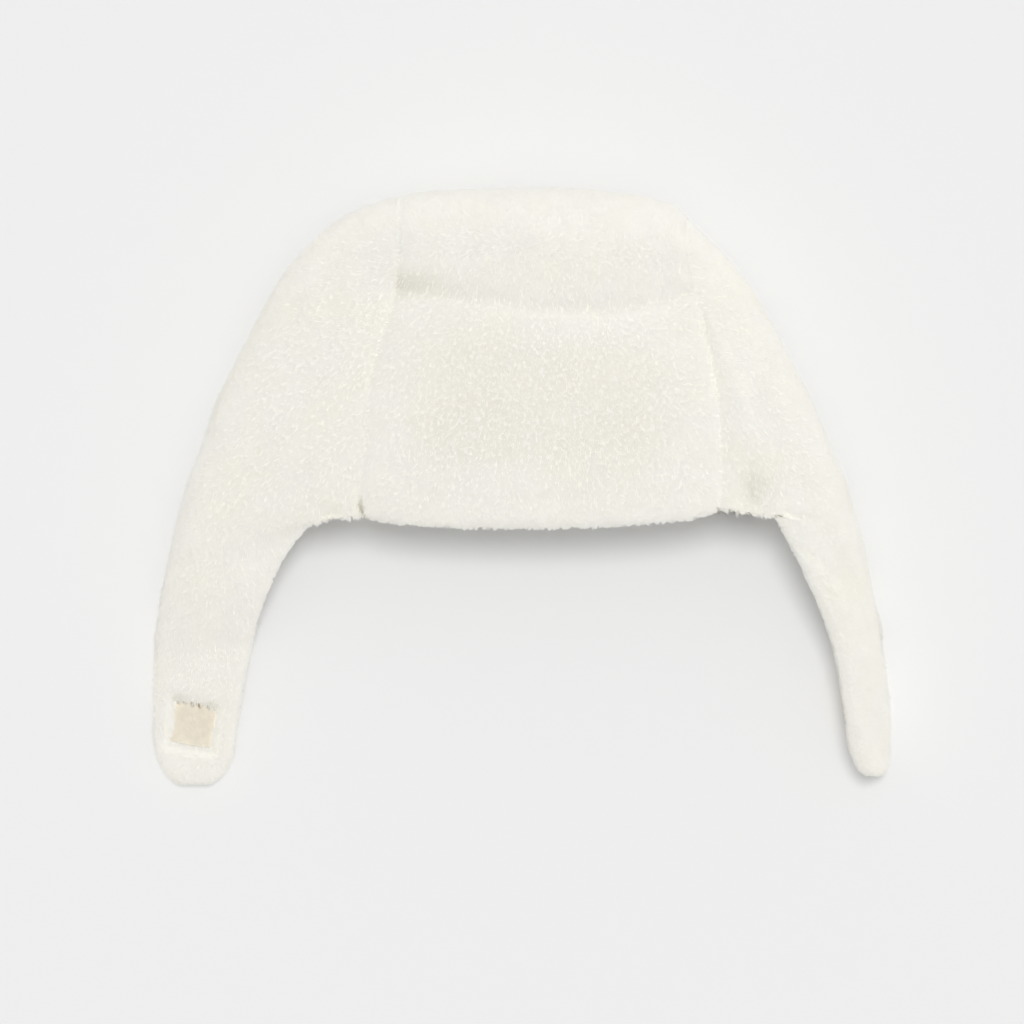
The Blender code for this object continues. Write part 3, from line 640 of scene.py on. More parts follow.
def crown_shell():
    """Skin and fur fields of the centre panel.

    Its nap parts along the ridge and runs to the brow and the nape, spreading to both
    sides. In its middle the fur has had more wear: it stands steeper, shorter and warmer.
    """
    seam_row = np.round(np.arange(0.0, SEAM_END_ROW + ROW_STEP / 2, ROW_STEP) / ROW_STEP) * ROW_STEP
    seam_row[np.isclose(seam_row, CREASE_ROW)] = CREASE_ROW
    left, right = (side_wall(table, seam_row)[:2] for table in (LEFT_SECTIONS, RIGHT_SECTIONS))
    faces, *grids = centre_wall(left, right, seam_row)
    kept = slice(HEM_ROWS_CUT, -HEM_ROWS_CUT)
    outer, inner = (face[kept] for face in faces)
    w, seam, ridge, from_crease = (grid[kept] for grid in grids)
    along = along_columns(outer)
    hem = np.minimum(along, along[-1] - along)

    up, across = grid_directions(outer)
    top = np.argmin(np.abs(ridge[:, 0] - PARTING))
    parted = np.tanh((along - along[top]) / PARTING_REACH)
    whorl = (1.0 - parted**2) * wander(outer, *WHORL_NOISE)
    sideways = (NAP_FAN * (w - 0.5) + whorl)[..., None]
    flow = up * parted[..., None] + across * sideways - (0.0, 0.0, DROOP)
    turned_flow = up - (0.0, 0.0, DROOP)

    centre = math.prod(ramp(d, *fade) for d, fade in zip((seam, along, -from_crease), CENTRE_FADES))
    lean, pile, warm = (
        start + change * centre
        for start, change in zip((FUR_LEAN, FUR_PILE, CROWN_WARMTH), CENTRE_CHANGES)
    )
    # Painted shade of the fur above the fold across the crown and in the slit
    off_line = (from_crease - FOLD_SHADE_PLACE) / FOLD_SHADE_REACH
    fold = np.interp(w, *FOLD_SHADE) * np.exp(-(off_line**2)) + slit_shade(outer)
    fold = np.where(ridge < math.pi / 2, fold, 0.0)
    fields = {"flow": (flow, turned_flow), "lean": lean, "pile": pile, "warm": warm, "fold": fold}
    return wall_shell(outer, inner, hem, seam, fields)


def loop_frame():
    """Middle of the loop patch's underside, and its directions along, across and out."""
    turn = math.radians(LOOP_TURN)
    middle = (*LOOP_CENTRE, FLAP_TOP - POCKET_DEPTH + PATCH_GAP)
    along, across = (math.cos(turn), math.sin(turn), 0.0), (-math.sin(turn), math.cos(turn), 0.0)
    return np.array((middle, along, across, (0.0, 0.0, 1.0)))


def hook_frame():
    """The same of the hook patch, on the plane through the inner face's points round its middle."""
    around = np.array((-1.0, 0.0, 1.0))
    near_row, near_way = HOOK_ROW + HOOK_SEAT[0] * around, HOOK_WAY + HOOK_SEAT[1] * around[None]
    outer, inner, _, _ = side_wall(RIGHT_SECTIONS, near_row, way=near_way)
    along = unit(inner[2, 1] - inner[0, 1])
    facing = unit(np.cross(along, inner[1, 2] - inner[1, 0]))
    facing = facing * np.sign(np.dot(facing, inner[1, 1] - outer[1, 1]))
    return np.array((inner[1, 1] + facing * PATCH_GAP, along, np.cross(facing, along), facing))


def outside_patch(points, patch):
    """Distance of points outside a patch's square, seen the way it faces. Inside it is negative."""
    off = points - patch[0]
    return np.maximum(np.abs(off @ patch[1]), np.abs(off @ patch[2])) - PATCH_SIDE / 2.0


def edge_shade(points, patch):
    """Painted shade of the fur that lies over a patch's upper edge: a bell across that edge."""
    off = points - patch[0]
    above = off @ patch[2] - PATCH_SIDE / 2.0 - EDGE_SHADE_PLACE
    beside = (np.abs(off @ patch[1]) < PATCH_SIDE / 2.0) * behind_patch(points, patch)
    return EDGE_SHADE * np.exp(-((above / EDGE_SHADE_REACH) ** 2)) * beside


def behind_patch(points, patch):
    """1 for points level with a patch's seat, to half the wall's thickness, and 0 beyond."""
    return 1.0 * (np.abs((points - patch[0]) @ patch[3]) < WALL / 2.0)


def scattered(shell, weight, count, rng):
    """Even random places on the shell's faces: a reader that gives any vertex field at each place.

    Faces are drawn by area times weight, one to each of count equal shares of the
    sum, and a place on a face is bilinear in two random numbers.
    """
    quads = shell["quads"]
    share = np.linalg.norm(face_areas(shell["points"], quads), axis=-1) * weight[quads].mean(axis=1)
    total = np.cumsum(share)
    aim = (np.arange(count) + rng.random(count)) / count * total[-1]
    face = quads[np.minimum(np.searchsorted(total, aim), len(quads) - 1)]
    a, b = rng.random((2, count))
    mix = np.stack([(1.0 - a) * (1.0 - b), a * (1.0 - b), a * b, (1.0 - a) * b], axis=-1)
    if "patch" in shell:
        root = np.einsum("nc,nci->ni", mix, shell["rooted"][face])
        leaning = unit(np.einsum("nc,nci->ni", mix, shell["flow"][face]))
        from_edge = outside_patch(root + PATCH_OVERHANG * leaning, shell["patch"])
        outside = from_edge > PATCH_FRAY * wander(root, *FRAY_NOISE)
        clear = outside | (behind_patch(root, shell["patch"]) < 0.5)
        face, mix = face[clear], mix[clear]

    def read(name):
        return np.einsum("nc,nc...->n...", mix, shell[name][face])

    return read, len(face)


def soft_normal(normal, tilt):
    """Shading normals of pile: the surface's, without its downward part, raised and tilted.

    Faces that look down keep theirs, past SHADE_DOWN.
    """
    down = ramp(-normal[:, 2:], *SHADE_DOWN)
    raised = np.maximum(normal, (-1.0, -1.0, 0.0)) + tilt + (0.0, 0.0, SHADE_UP)
    return unit(raised * (1.0 - down) + normal * down)


def strands(shell, weight, per_mm2, fur, seed):
    """Fur in tufts, as one joined mesh of pointed leaves of two triangles each.

    A tuft stands at root + length * (normal cos lean + flow sin lean). Its strands
    start on a disc of the tuft's radius round the root and end on a smaller one round
    the tip. A leaf runs from its root to its tip and is widest at its bent middle.
    """
    rng = np.random.default_rng(seed)
    quads = shell["quads"]
    area = np.linalg.norm(face_areas(shell["points"], quads), axis=-1) @ weight[quads].mean(axis=1)
    read, tufts = scattered(shell, weight, int(area * per_mm2 / fur.strands_per_tuft), rng)
    root, normal = read("rooted"), unit(read("normal"))
    flow = read("flow")
    flow = unit(flow - normal * np.sum(flow * normal, axis=-1, keepdims=True))
    side = np.cross(normal, flow)

    turn = np.radians(layered(root, TURN_NOISES) + TURN_SPREAD * rng.normal(size=tufts))
    lean = read("lean") + layered(root, LEAN_NOISES) + LEAN_SPREAD * rng.normal(size=tufts)
    lean = np.radians(np.clip(lean, *LEAN_LIMITS))
    longer = 1.0 + layered(root, LENGTH_NOISES) + LENGTH_SPREAD * rng.normal(size=tufts)
    length = read("pile") * read("short") * longer
    level = flow * np.cos(turn)[:, None] + side * np.sin(turn)[:, None]
    way = normal * np.cos(lean)[:, None] + level * np.sin(lean)[:, None]

    each = fur.strands_per_tuft
    number = np.arange(each)
    spin = TUFT_SPIN * number + rng.uniform(0.0, 2.0 * math.pi, (tufts, 1))
    out = np.sqrt((number + 0.5) / each) * (fur.tuft_radius / MM)
    round_root = flow[:, None] * np.cos(spin)[..., None] + side[:, None] * np.sin(spin)[..., None]
    disc = round_root * out[:, None]
    grown = length[:, None] * (1.0 + fur.uneven * rng.normal(size=spin.shape))
    stray = fur.stray * rng.normal(size=(*spin.shape, 3)) * grown[..., None]
    start = root[:, None] + disc - normal[:, None] * ROOT_SINK
    tip = root[:, None] + disc * fur.tip_spread + way[:, None] * grown[..., None] + stray
    bend = normal[:, None] * (BEND * grown * np.sin(lean)[:, None])[..., None]
    middle = (1.0 - MIDDLE) * start + MIDDLE * tip + bend

    roll = fur.roll * np.clip(rng.normal(size=spin.shape), -MOST_ROLL, MOST_ROLL)[..., None]
    flat = unit(np.cross(tip - start, normal[:, None] + 1e-3))
    wide = flat * np.cos(roll) + normal[:, None] * np.sin(roll)
    wider = (1.0 + WIDTH_SPREAD * rng.normal(size=spin.shape))[..., None]
    half = 0.5 * fur.strand_width / MM * wider
    points = np.stack([start, middle - wide * half, middle + wide * half, tip], axis=2).reshape(-1, 3)
    least, added = LEAST_HEIGHTS
    points[:, 2] = np.maximum(points[:, 2], least + added * rng.random(len(points)))

    first = 4 * np.arange(tufts * each)[:, None]
    faces = np.concatenate([first + (0, 2, 1), first + (1, 2, 3)], axis=1).reshape(-1, 3)
    kind = 0.5 + KIND_SPREAD * rng.normal(size=spin.shape) + layered(root, KIND_NOISES)[:, None]
    tone = {
        "custom_normal": np.repeat(soft_normal(normal, SHADE_ALONG * way), 4 * each, axis=0),
        "up_strand": np.tile(UP_STRAND, tufts * each),
        "strand_kind": np.repeat(np.clip(kind, 0.0, 1.0).ravel(), 4),
        "warmth": np.repeat(read("warm"), 4 * each),
        # painted shade deep in folds, in the slit and over a patch's upper edge
        "painted_shade": np.repeat(read("fold"), 4 * each),
    }
    return points, faces, tone


def in_frame(points, patch):
    """Points given along, across and out from a patch's underside, put in its place."""
    return patch[0] + points @ patch[1:]


def tape_pad(patch):
    """Points and faces of a tape's backing: a rounded square whose face rounds over at its edge.

    At a and b from -1 to 1 across the square, a point lies at half the side times
    a * sqrt(1 - corner * b^4), and the same with a and b changed over. The face
    stands as a quarter ellipse over PATCH_EDGE.
    """
    half = PATCH_SIDE / 2.0
    station = edge_stations(np.array([PATCH_SIDE]), PATCH_STEPS)[0] / half - 1.0
    a, b = np.meshgrid(station, station, indexing="ij")
    x, y = (half * p * np.sqrt(1.0 - PATCH_CORNER * q**4) for p, q in ((a, b), (b, a)))
    from_edge = half * (1.0 - np.maximum(np.abs(a), np.abs(b)))
    rounded = np.sqrt(1.0 - np.clip(1.0 - from_edge / PATCH_EDGE, 0.0, 1.0) ** 2)
    flat = np.stack([x, y, 0.0 * x], axis=-1)
    height = TAPE_THICK * (TAPE_EDGE + (1.0 - TAPE_EDGE) * rounded)
    height = height + TAPE_UNEVEN * wander(flat, *TAPE_NOISE) * rounded
    grids = np.stack([x, y, height], axis=-1), flat
    points = np.concatenate([grid.reshape(-1, 3) for grid in grids])
    return in_frame(points, patch), facing_out(points, np.concatenate(shell_quads(*x.shape)))


def bent_wires(path, side, radius):
    """Points and faces of many thin wires, each along its own path of points in one plane.

    A ring stands round each path point, on the plane's normal, side, and on the cross
    product of the path's direction with it. radius has a value to each path point.
    """
    count, steps = path.shape[:2]
    direction = unit(np.gradient(path, axis=1))
    third = np.cross(direction, side[:, None])
    angle = 2.0 * math.pi * np.arange(WIRE_SIDES) / WIRE_SIDES
    ring = side[:, None, None] * np.cos(angle)[:, None] + third[:, :, None] * np.sin(angle)[:, None]
    points = path[:, :, None] + ring * radius[:, None, None]
    i = np.arange(count * steps * WIRE_SIDES).reshape(count, steps, WIRE_SIDES)
    ahead = np.roll(i, -1, axis=2)
    quads = np.stack([i[:, :-1], ahead[:, :-1], ahead[:, 1:], i[:, 1:]], axis=-1)
    return points.reshape(-1, 3), quads.reshape(-1, 4)


def planted(pitch, border, jitter, seed):
    """Places in even rows over a patch inside its border, set off at random by jitter pitches."""
    rng = np.random.default_rng(seed)
    half = PATCH_SIDE / 2.0 - border
    line = np.linspace(-half, half, int(2.0 * half / pitch) + 1)
    x, y = (grid.ravel() for grid in np.meshgrid(line, line, indexing="ij"))
    foot = np.stack([x, y, 0.0 * x], axis=-1) + jitter * pitch * rng.normal(size=(x.size, 3))
    foot[:, 2] = TAPE_THICK - WIRES_SINK
    return foot, rng


def loop_wires():
    """The loops of the soft square: half ellipses of random width and height, turned at random."""
    foot, rng = planted(LOOP_PITCH, LOOP_BORDER, LOOP_JITTER, LOOP_SEED)
    turn = rng.uniform(0.0, math.pi, len(foot))
    along = np.stack([np.cos(turn), np.sin(turn), 0.0 * turn], axis=-1)
    tilt = [LOOP_TILT * rng.normal(size=len(foot)) for _ in range(2)]
    up = unit(np.stack([tilt[0], tilt[1] - LOOP_DROOP, 1.0 + 0.0 * turn], axis=-1))
    angle = np.linspace(0.0, math.pi, LOOP_STEPS)[:, None]
    wide = LOOP_RADIUS * rng.uniform(*LOOP_WIDTHS, (len(foot), 1, 1))
    tall = LOOP_HEIGHT * rng.uniform(*LOOP_HEIGHTS, (len(foot), 1, 1))
    across, over = wide * np.cos(angle), tall * np.sin(angle)
    path = foot[:, None] - along[:, None] * across + up[:, None] * over
    return bent_wires(path, unit(np.cross(up, along)), np.full(LOOP_STEPS, LOOP_WIRE))


def hook_wires():
    """The hooks: a straight stem and then an arc that turns back down."""
    foot, rng = planted(HOOK_PITCH, HOOK_BORDER, HOOK_JITTER, HOOK_SEED)
    turn = math.pi * rng.integers(0, 2, len(foot)) + HOOK_TURN * rng.normal(size=len(foot))
    along = np.stack([np.cos(turn), np.sin(turn), 0.0 * turn], axis=-1)
    up = np.array((0.0, 0.0, 1.0))
    s = np.linspace(0.0, 1.0, HOOK_STEPS)
    stem = HOOK_STEM * np.minimum(s / HOOK_STEM_SHARE, 1.0)
    angle = HOOK_BEND * np.clip((s - HOOK_STEM_SHARE) / (1.0 - HOOK_STEM_SHARE), 0.0, 1.0)
    out, height = HOOK_RADIUS * (1.0 - np.cos(angle)), stem + HOOK_RADIUS * np.sin(angle)
    path = foot[:, None] + along[:, None] * out[:, None] + up * height[:, None]
    return bent_wires(path, np.cross(up, along), HOOK_WIRE * (1.0 - HOOK_TAPER * s**4))


def add_tape(name, node, patch, wires, material):
    """Adds a fastener patch: its backing and its loops or hooks, in place of the solid."""
    pad_points, pad_quads = tape_pad(patch)
    points, quads = wires()
    points = np.concatenate([pad_points, in_frame(points, patch)])
    quads = np.concatenate([pad_quads, quads + len(pad_points)])
    up_patch = (points - patch[0]) @ patch[2] / (PATCH_SIDE / 2.0)
    # Painted shadow of the fur above, darker brown towards the tape's upper edge
    painted_edge_shadow = ramp(up_patch + SHADOW_BAND_UNEVEN * wander(points, *SHADOW_BAND_NOISE), *PATCH_SHADOW_BAND)
    tape = new_mesh_object(name, points, quads, (material,), fields={"painted_edge_shadow": painted_edge_shadow})
    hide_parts(node)
    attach(tape, "root")


def new_mesh_object(name, points, faces, materials, slots=None, fields=None):
    """An object from arrays: points in millimetres, faces of one size, a material slot to each face."""
    mesh = bpy.data.meshes.new(name)
    mesh.vertices.add(len(points))
    mesh.vertices.foreach_set("co", (points * MM).astype(np.float32).ravel())
    mesh.loops.add(faces.size)
    mesh.loops.foreach_set("vertex_index", faces.astype(np.int32).ravel())
    mesh.polygons.add(len(faces))
    mesh.polygons.foreach_set("loop_start", np.arange(0, faces.size, faces.shape[1], dtype=np.int32))
    mesh.polygons.foreach_set("use_smooth", np.ones(len(faces), bool))
    for material in materials:
        mesh.materials.append(material)
    if slots is not None:
        mesh.polygons.foreach_set("material_index", slots.astype(np.int32))
    for field, values in (fields or {}).items():
        kind, key = ("FLOAT", "value") if values.ndim == 1 else ("FLOAT_VECTOR", "vector")
        mesh.attributes.new(field, kind, "POINT").data.foreach_set(key, values.astype(np.float32).ravel())
    mesh.update(calc_edges=True)
    obj = bpy.data.objects.new(name, mesh)
    bpy.context.scene.collection.objects.link(obj)
    return obj


def set_inputs(tree, node, inputs):
    """Gives a node's inputs a value each, or links them to another node's output."""
    for label, value in inputs.items():
        if isinstance(value, bpy.types.NodeSocket):
            tree.links.new(value, node.inputs[label])
        else:
            node.inputs[label].default_value = value


def add_node(tree, kind, place, inputs=None, **options):
    """A node with its options set, and its inputs after them."""
    node = tree.nodes.new(kind)
    node.location = place
    for name, value in options.items():
        setattr(node, name, value)
    set_inputs(tree, node, inputs or {})
    return node


def add_math(tree, place, operation, *operands, clamped=False):
    """The result of a math node on its operands, which are numbers or outputs."""
    inputs = dict(enumerate(operands))
    node = add_node(tree, "ShaderNodeMath", place, inputs, operation=operation, use_clamp=clamped)
    return node.outputs[0]


def add_range(tree, place, value, to, start=(0.0, 1.0)):
    """The value mapped from the range start to the range to, and kept inside it."""
    ends = dict(zip(("From Min", "From Max", "To Min", "To Max"), (*start, *to)))
    return add_node(tree, "ShaderNodeMapRange", place, {"Value": value} | ends).outputs["Result"]


def add_mix(tree, place, factor, a, b, blend="MIX"):
    """The colour a with as much of b as factor says."""
    inputs = {"Factor": factor, "A": a, "B": b}
    node = add_node(tree, "ShaderNodeMix", place, inputs, data_type="RGBA", blend_type=blend)
    return node.outputs["Result"]


def add_noise(tree, place, scale, detail):
    """Cloudy noise over the piece, from 0 to 1."""
    where = add_node(tree, "ShaderNodeTexCoord", (place[0] - 200, place[1])).outputs["Object"]
    inputs = {"Vector": where, "Scale": scale, "Detail": detail}
    return add_node(tree, "ShaderNodeTexNoise", place, inputs).outputs["Fac"]


def new_group(name, takes, gives):
    """An empty node group and what it is given. takes has a number, or None for a colour."""
    tree = bpy.data.node_groups.new(name, "ShaderNodeTree")
    for label, default in takes.items():
        kind = "NodeSocketColor" if default is None else "NodeSocketFloat"
        socket = tree.interface.new_socket(name=label, in_out="INPUT", socket_type=kind)
        if default is not None:
            socket.default_value = default
    for label, kind in gives.items():
        tree.interface.new_socket(name=label, in_out="OUTPUT", socket_type=kind)
    return tree, add_node(tree, "NodeGroupInput", (-900, 0)).outputs


def add_group(tree, place, name, make, inputs):
    """A node of the group of this name, which make(name) builds the first time."""
    group = bpy.data.node_groups.get(name) or make(name)
    return add_node(tree, "ShaderNodeGroup", place, inputs, node_tree=group)


def pile_colour_group(name):
    """Colour of pile from painted shade at the root to the tip and in folds, warmer in some zones and
    cloudy in patches.
    """
    numbers = {"Up Strand": 1.0, "Kind": 0.5, "Warmth": 0.3, "Fold": 0.0, "Cloud Scale": 60.0}
    takes = dict.fromkeys(("Cream", "Warm", "Shade")) | numbers
    gives = {"Color": "NodeSocketColor", "Roughness": "NodeSocketFloat"}
    tree, given = new_group(name, takes, gives)
    cloud = add_noise(tree, (-700, -320), given["Cloud Scale"], 3.0)
    patchy = add_range(tree, (-500, -320), cloud, (-CLOUD_WARMTH, CLOUD_WARMTH), CLOUD_SEEN)
    warmth = add_math(tree, (-300, -200), "ADD", given["Warmth"], patchy, clamped=True)
    tint = add_mix(tree, (-100, 0), warmth, given["Cream"], given["Warm"])
    # Painted shade: darker towards a strand's root, deep in the pile
    root = add_range(tree, (-300, 200), given["Up Strand"], (ROOT_SHADE, 0.0))
    kind = add_range(tree, (-300, 420), given["Kind"], (KIND_SHADE, 0.0))
    dark = add_math(tree, (-100, 300), "ADD", root, kind, clamped=True)
    # Painted shade in folds, dents, the slit and over a patch's upper edge
    shaded = add_math(tree, (20, 300), "ADD", dark, given["Fold"], clamped=True)
    colour = add_mix(tree, (120, 100), shaded, tint, given["Shade"])
    # Painted shade, darker still in the deepest folds and the slit
    pit = add_range(tree, (120, 400), given["Fold"], (0.0, 1.0), PIT_SHADES)
    deep = add_mix(tree, (320, 200), pit, colour, (*PIT_SHADE_COLOUR, 1.0), "MULTIPLY")
    rough = add_range(tree, (120, -200), cloud, PILE_ROUGHNESS)
    add_node(tree, "NodeGroupOutput", (500, 0), {"Color": deep, "Roughness": rough})
    return tree


def nap_group(name):
    """Normal of a short nap: fine noise over small round clumps."""
    takes = {"Clump Scale": 500.0, "Fibre Scale": 2500.0, "Depth": 0.0006}
    tree, given = new_group(name, takes, {"Normal": "NodeSocketVector"})
    where = add_node(tree, "ShaderNodeTexCoord", (-850, 200)).outputs["Object"]
    inputs = {"Vector": where, "Scale": given["Clump Scale"]}
    clumps = add_node(tree, "ShaderNodeTexVoronoi", (-650, 0), inputs).outputs["Distance"]
    fibres = add_noise(tree, (-650, -300), given["Fibre Scale"], 4.0)
    height = add_math(tree, (-400, 0), "MULTIPLY_ADD", clumps, -0.8, fibres)
    bump = add_node(tree, "ShaderNodeBump", (0, 0), {"Height": height, "Distance": given["Depth"]})
    add_node(tree, "NodeGroupOutput", (300, 0), {"Normal": bump.outputs["Normal"]})
    return tree


def weave_group(name):
    """Height and normal of a fine plain weave, from crossed waves over the piece."""
    takes = {"Thread Scale": 700.0, "Depth": 0.0002}
    gives = {"Threads": "NodeSocketFloat", "Normal": "NodeSocketVector"}
    tree, given = new_group(name, takes, gives)
    where = add_node(tree, "ShaderNodeTexCoord", (-900, -300)).outputs["Object"]
    inputs = {"Vector": where, "Scale": given["Thread Scale"], "Distortion": 0.6, "Detail": 1.0}
    waves = [
        add_node(tree, "ShaderNodeTexWave", (-600, y), inputs, bands_direction=direction)
        for y, direction in ((0, "X"), (-300, "Y"))
    ]
    over = add_math(tree, (-300, 0), "MAXIMUM", *(wave.outputs["Fac"] for wave in waves))
    bump = add_node(tree, "ShaderNodeBump", (0, -200), {"Height": over, "Distance": given["Depth"]})
    add_node(tree, "NodeGroupOutput", (400, 0), {"Threads": over, "Normal": bump.outputs["Normal"]})
    return tree


def blank_material(name):
    """A new material, its node tree and its shader."""
    material = bpy.data.materials.new(name)
    material.use_nodes = True
    return material, material.node_tree, material.node_tree.nodes["Principled BSDF"]


def pile_surface(tree, shader, place, colours, inputs, specular, sheen):
    """Gives a shader the pile's colour and roughness and a soft sheen. Returns that colour."""
    inputs = {"Cloud Scale": CLOUD_SCALE} | inputs
    for label in ("Cream", "Warm", "Shade"):
        inputs[label] = (*getattr(colours, label.lower()), 1.0)
    pile = add_group(tree, place, "Pile Colour", pile_colour_group, inputs)
    colour = pile.outputs["Color"]
    set_inputs(tree, shader, {"Base Color": colour, "Roughness": pile.outputs["Roughness"]})
    soft = {"Specular IOR Level": specular, "Sheen Weight": sheen, "Sheen Roughness": 0.5}
    set_inputs(tree, shader, soft)
    return colour


def fur_material(name, colours):
    """Strands of the pile: the colour runs from painted shade at the root to the tip and differs from
    strand to strand.

    A strand's back is lit through by a translucent shader of the same colour.
    """
    material, tree, shader = blank_material(name)
    read = {}
    labels = {"Up Strand": "up_strand", "Kind": "strand_kind", "Warmth": "warmth", "Fold": "painted_shade"}
    for number, (label, field) in enumerate(labels.items()):
        place = (-600, 250 - 200 * number)
        node = add_node(tree, "ShaderNodeAttribute", place, attribute_name=field)
        read[label] = node.outputs["Fac"]
    colour = pile_surface(tree, shader, (-350, 100), colours, read, specular=0.25, sheen=0.15)
    through = add_node(tree, "ShaderNodeBsdfTranslucent", (0, -350), {"Color": colour})
    facing = add_node(tree, "ShaderNodeNewGeometry", (0, 500)).outputs["Backfacing"]
    inputs = {"Fac": facing, 1: shader.outputs["BSDF"], 2: through.outputs["BSDF"]}
    sides = add_node(tree, "ShaderNodeMixShader", (350, 100), inputs)
    set_inputs(tree, tree.nodes["Material Output"], {"Surface": sides.outputs["Shader"]})
    return material


def nap_material(name, colours, up_strand, warmth, scales, depth):
    """A short nap: the skin between the strands, or the brushed lining."""
    material, tree, shader = blank_material(name)
    inputs = {"Up Strand": up_strand, "Warmth": warmth}
    pile_surface(tree, shader, (-350, 150), colours, inputs, specular=0.2, sheen=0.2)
    inputs = {"Clump Scale": scales[0], "Fibre Scale": scales[1], "Depth": depth}
    nap = add_group(tree, (-350, -250), "Short Nap", nap_group, inputs)
    set_inputs(tree, shader, {"Normal": nap.outputs["Normal"]})
    return material


def tape_material(name, colour, edge_colour, roughness, thread_scale):
    """Fastener tape: pale threads with darker gaps, cloudy wear, and a painted shadow along its upper edge.
    """
    material, tree, shader = blank_material(name)
    inputs = {"Thread Scale": thread_scale, "Depth": WEAVE_DEPTH}
    weave = add_group(tree, (-700, -200), "Tape Weave", weave_group, inputs)
    wear = add_noise(tree, (-900, 200), WEAR_SCALE, 4.0)
    paler = add_math(tree, (-500, 100), "MULTIPLY_ADD", weave.outputs["Threads"], 0.35, wear)
    tone = add_range(tree, (-300, 100), paler, (0.0, 1.0), (0.3, 1.0))
    gaps = (*(GAP_SHADE * c for c in colour), 1.0)
    cloth = add_mix(tree, (-100, 100), tone, gaps, (*colour, 1.0))
    # Painted shadow along the tape's upper edge
    painted_edge_shadow = add_node(tree, "ShaderNodeAttribute", (-100, 350), attribute_name="painted_edge_shadow")
    edge = add_mix(tree, (100, 150), painted_edge_shadow.outputs["Fac"], cloth, (*edge_colour, 1.0))
    rough = add_range(tree, (-100, -150), wear, (roughness, roughness + 0.12))
    set_inputs(tree, shader, {"Base Color": edge, "Roughness": rough, "Specular IOR Level": 0.3})
    set_inputs(tree, shader, {"Normal": weave.outputs["Normal"]})
    return material


def angle_property(name, description, degrees):
    """A setting for an angle, kept in radians."""
    default = math.radians(degrees)
    return bpy.props.FloatProperty(name=name, description=description, default=default, subtype="ANGLE")


def colour_property(name, description, default):
    """A setting for a colour, whose parts run from 0 to 1."""
    return bpy.props.FloatVectorProperty(
        name=name, description=description, default=default, subtype="COLOR", min=0.0, max=1.0,
    )


class BabyHatFur(bpy.types.PropertyGroup):
    """Settings of the fur."""

    strand_width: bpy.props.FloatProperty(
        name="Strand width", description="Width of a strand of fur at its middle",
        default=0.00034, min=0.0001, max=0.001, precision=5, unit="LENGTH",
    )
    tuft_radius: bpy.props.FloatProperty(
        name="Tuft radius", description="How far a tuft's strands start from its middle",
        default=0.0009, min=0.0001, max=0.01, precision=4, unit="LENGTH",
    )
    strands_per_tuft: bpy.props.IntProperty(
        name="Strands per tuft", description="Strands that lean together",
        default=4, min=1, max=40,
    )
    tip_spread: bpy.props.FloatProperty(
        name="Tip spread", description="Width of a tuft at its tips, as a share of that at its roots",
        default=0.85, min=0.0, max=2.0,
    )
    uneven: bpy.props.FloatProperty(
        name="Uneven length", description="How much the strands of a tuft differ in length",
        default=0.06, min=0.0, max=0.5,
    )
    stray: bpy.props.FloatProperty(
        name="Stray", description="How far strands wander off, as a share of their length",
        default=0.03, min=0.0, max=0.5,
    )
    roll: angle_property("Roll", "How far strands turn about their own length", 17.0)
    front_density: bpy.props.FloatProperty(
        name="Front density", description="Strands to a square millimetre where the hat faces up",
        default=3.35, min=0.1,
    )
    back_density: bpy.props.FloatProperty(
        name="Back density", description="Strands to a square millimetre beneath",
        default=2.6, min=0.1,
    )


class BabyHatColours(bpy.types.PropertyGroup):
    """Settings of the colours."""

    cream: colour_property("Cream", "Tips of the fur", (0.821, 0.814, 0.778))
    warm: colour_property("Warm cream", "Fur of the centre panel", (0.831, 0.809, 0.743))
    # Painted shade: the colour that roots, folds and the slit are darkened towards
    shade: colour_property("Shade", "Roots of the fur", (0.70, 0.68, 0.615))
    loops: colour_property("Loops", "Soft square of the fastener", (0.93, 0.87, 0.755))
    hooks: colour_property("Hooks", "Hooked square of the fastener", (0.80, 0.72, 0.58))
    # Colour of the painted shadow that the fur casts along a fastener square's upper edge
    painted_edge_shadow: colour_property("Painted edge shadow", "Upper edge of a fastener square", (0.40, 0.33, 0.23))
    floor: colour_property("Floor", "Plain floor", (0.82, 0.82, 0.82))


class BabyHatStage(bpy.types.PropertyGroup):
    """Settings of the camera and the lights."""

    camera_height: bpy.props.FloatProperty(
        name="Camera height", description="Camera above the floor",
        default=4.0, min=1.0, unit="LENGTH",
    )
    view_width: bpy.props.FloatProperty(
        name="View width", description="Width that the picture takes in at the hat",
        default=0.45056, min=0.1, unit="LENGTH",
    )
    view_level: bpy.props.FloatProperty(
        name="View level", description="Height above the floor at which that width is measured",
        default=0.02, unit="LENGTH",
    )
    sky: bpy.props.FloatProperty(
        name="Sky", description="Strength of the even light", default=0.53, min=0.0,
    )
    key: bpy.props.FloatProperty(
        name="Key", description="Strength of the soft key light", default=1.42, min=0.0,
    )
    fill: bpy.props.FloatProperty(
        name="Fill", description="Strength of the light without shadows", default=1.0, min=0.0,
    )
    key_tilt: angle_property("Key tilt", "Key light's tilt from upright, towards the crown", 13.0)
    key_turn: angle_property("Key turn", "Key light's turn from the crown to the right", 10.0)
    key_spread: angle_property("Key spread", "Width of the key light seen from the hat", 20.0)


def settings():
    """The scene's settings of the fur, the colours and the stage."""
    scene = bpy.context.scene
    return scene.baby_hat_fur, scene.baby_hat_colours, scene.baby_hat_stage


def material_once(name, make, *values):
    """The material of this name, which make(name, *values) builds the first time."""
    return bpy.data.materials.get(name) or make(name, *values)


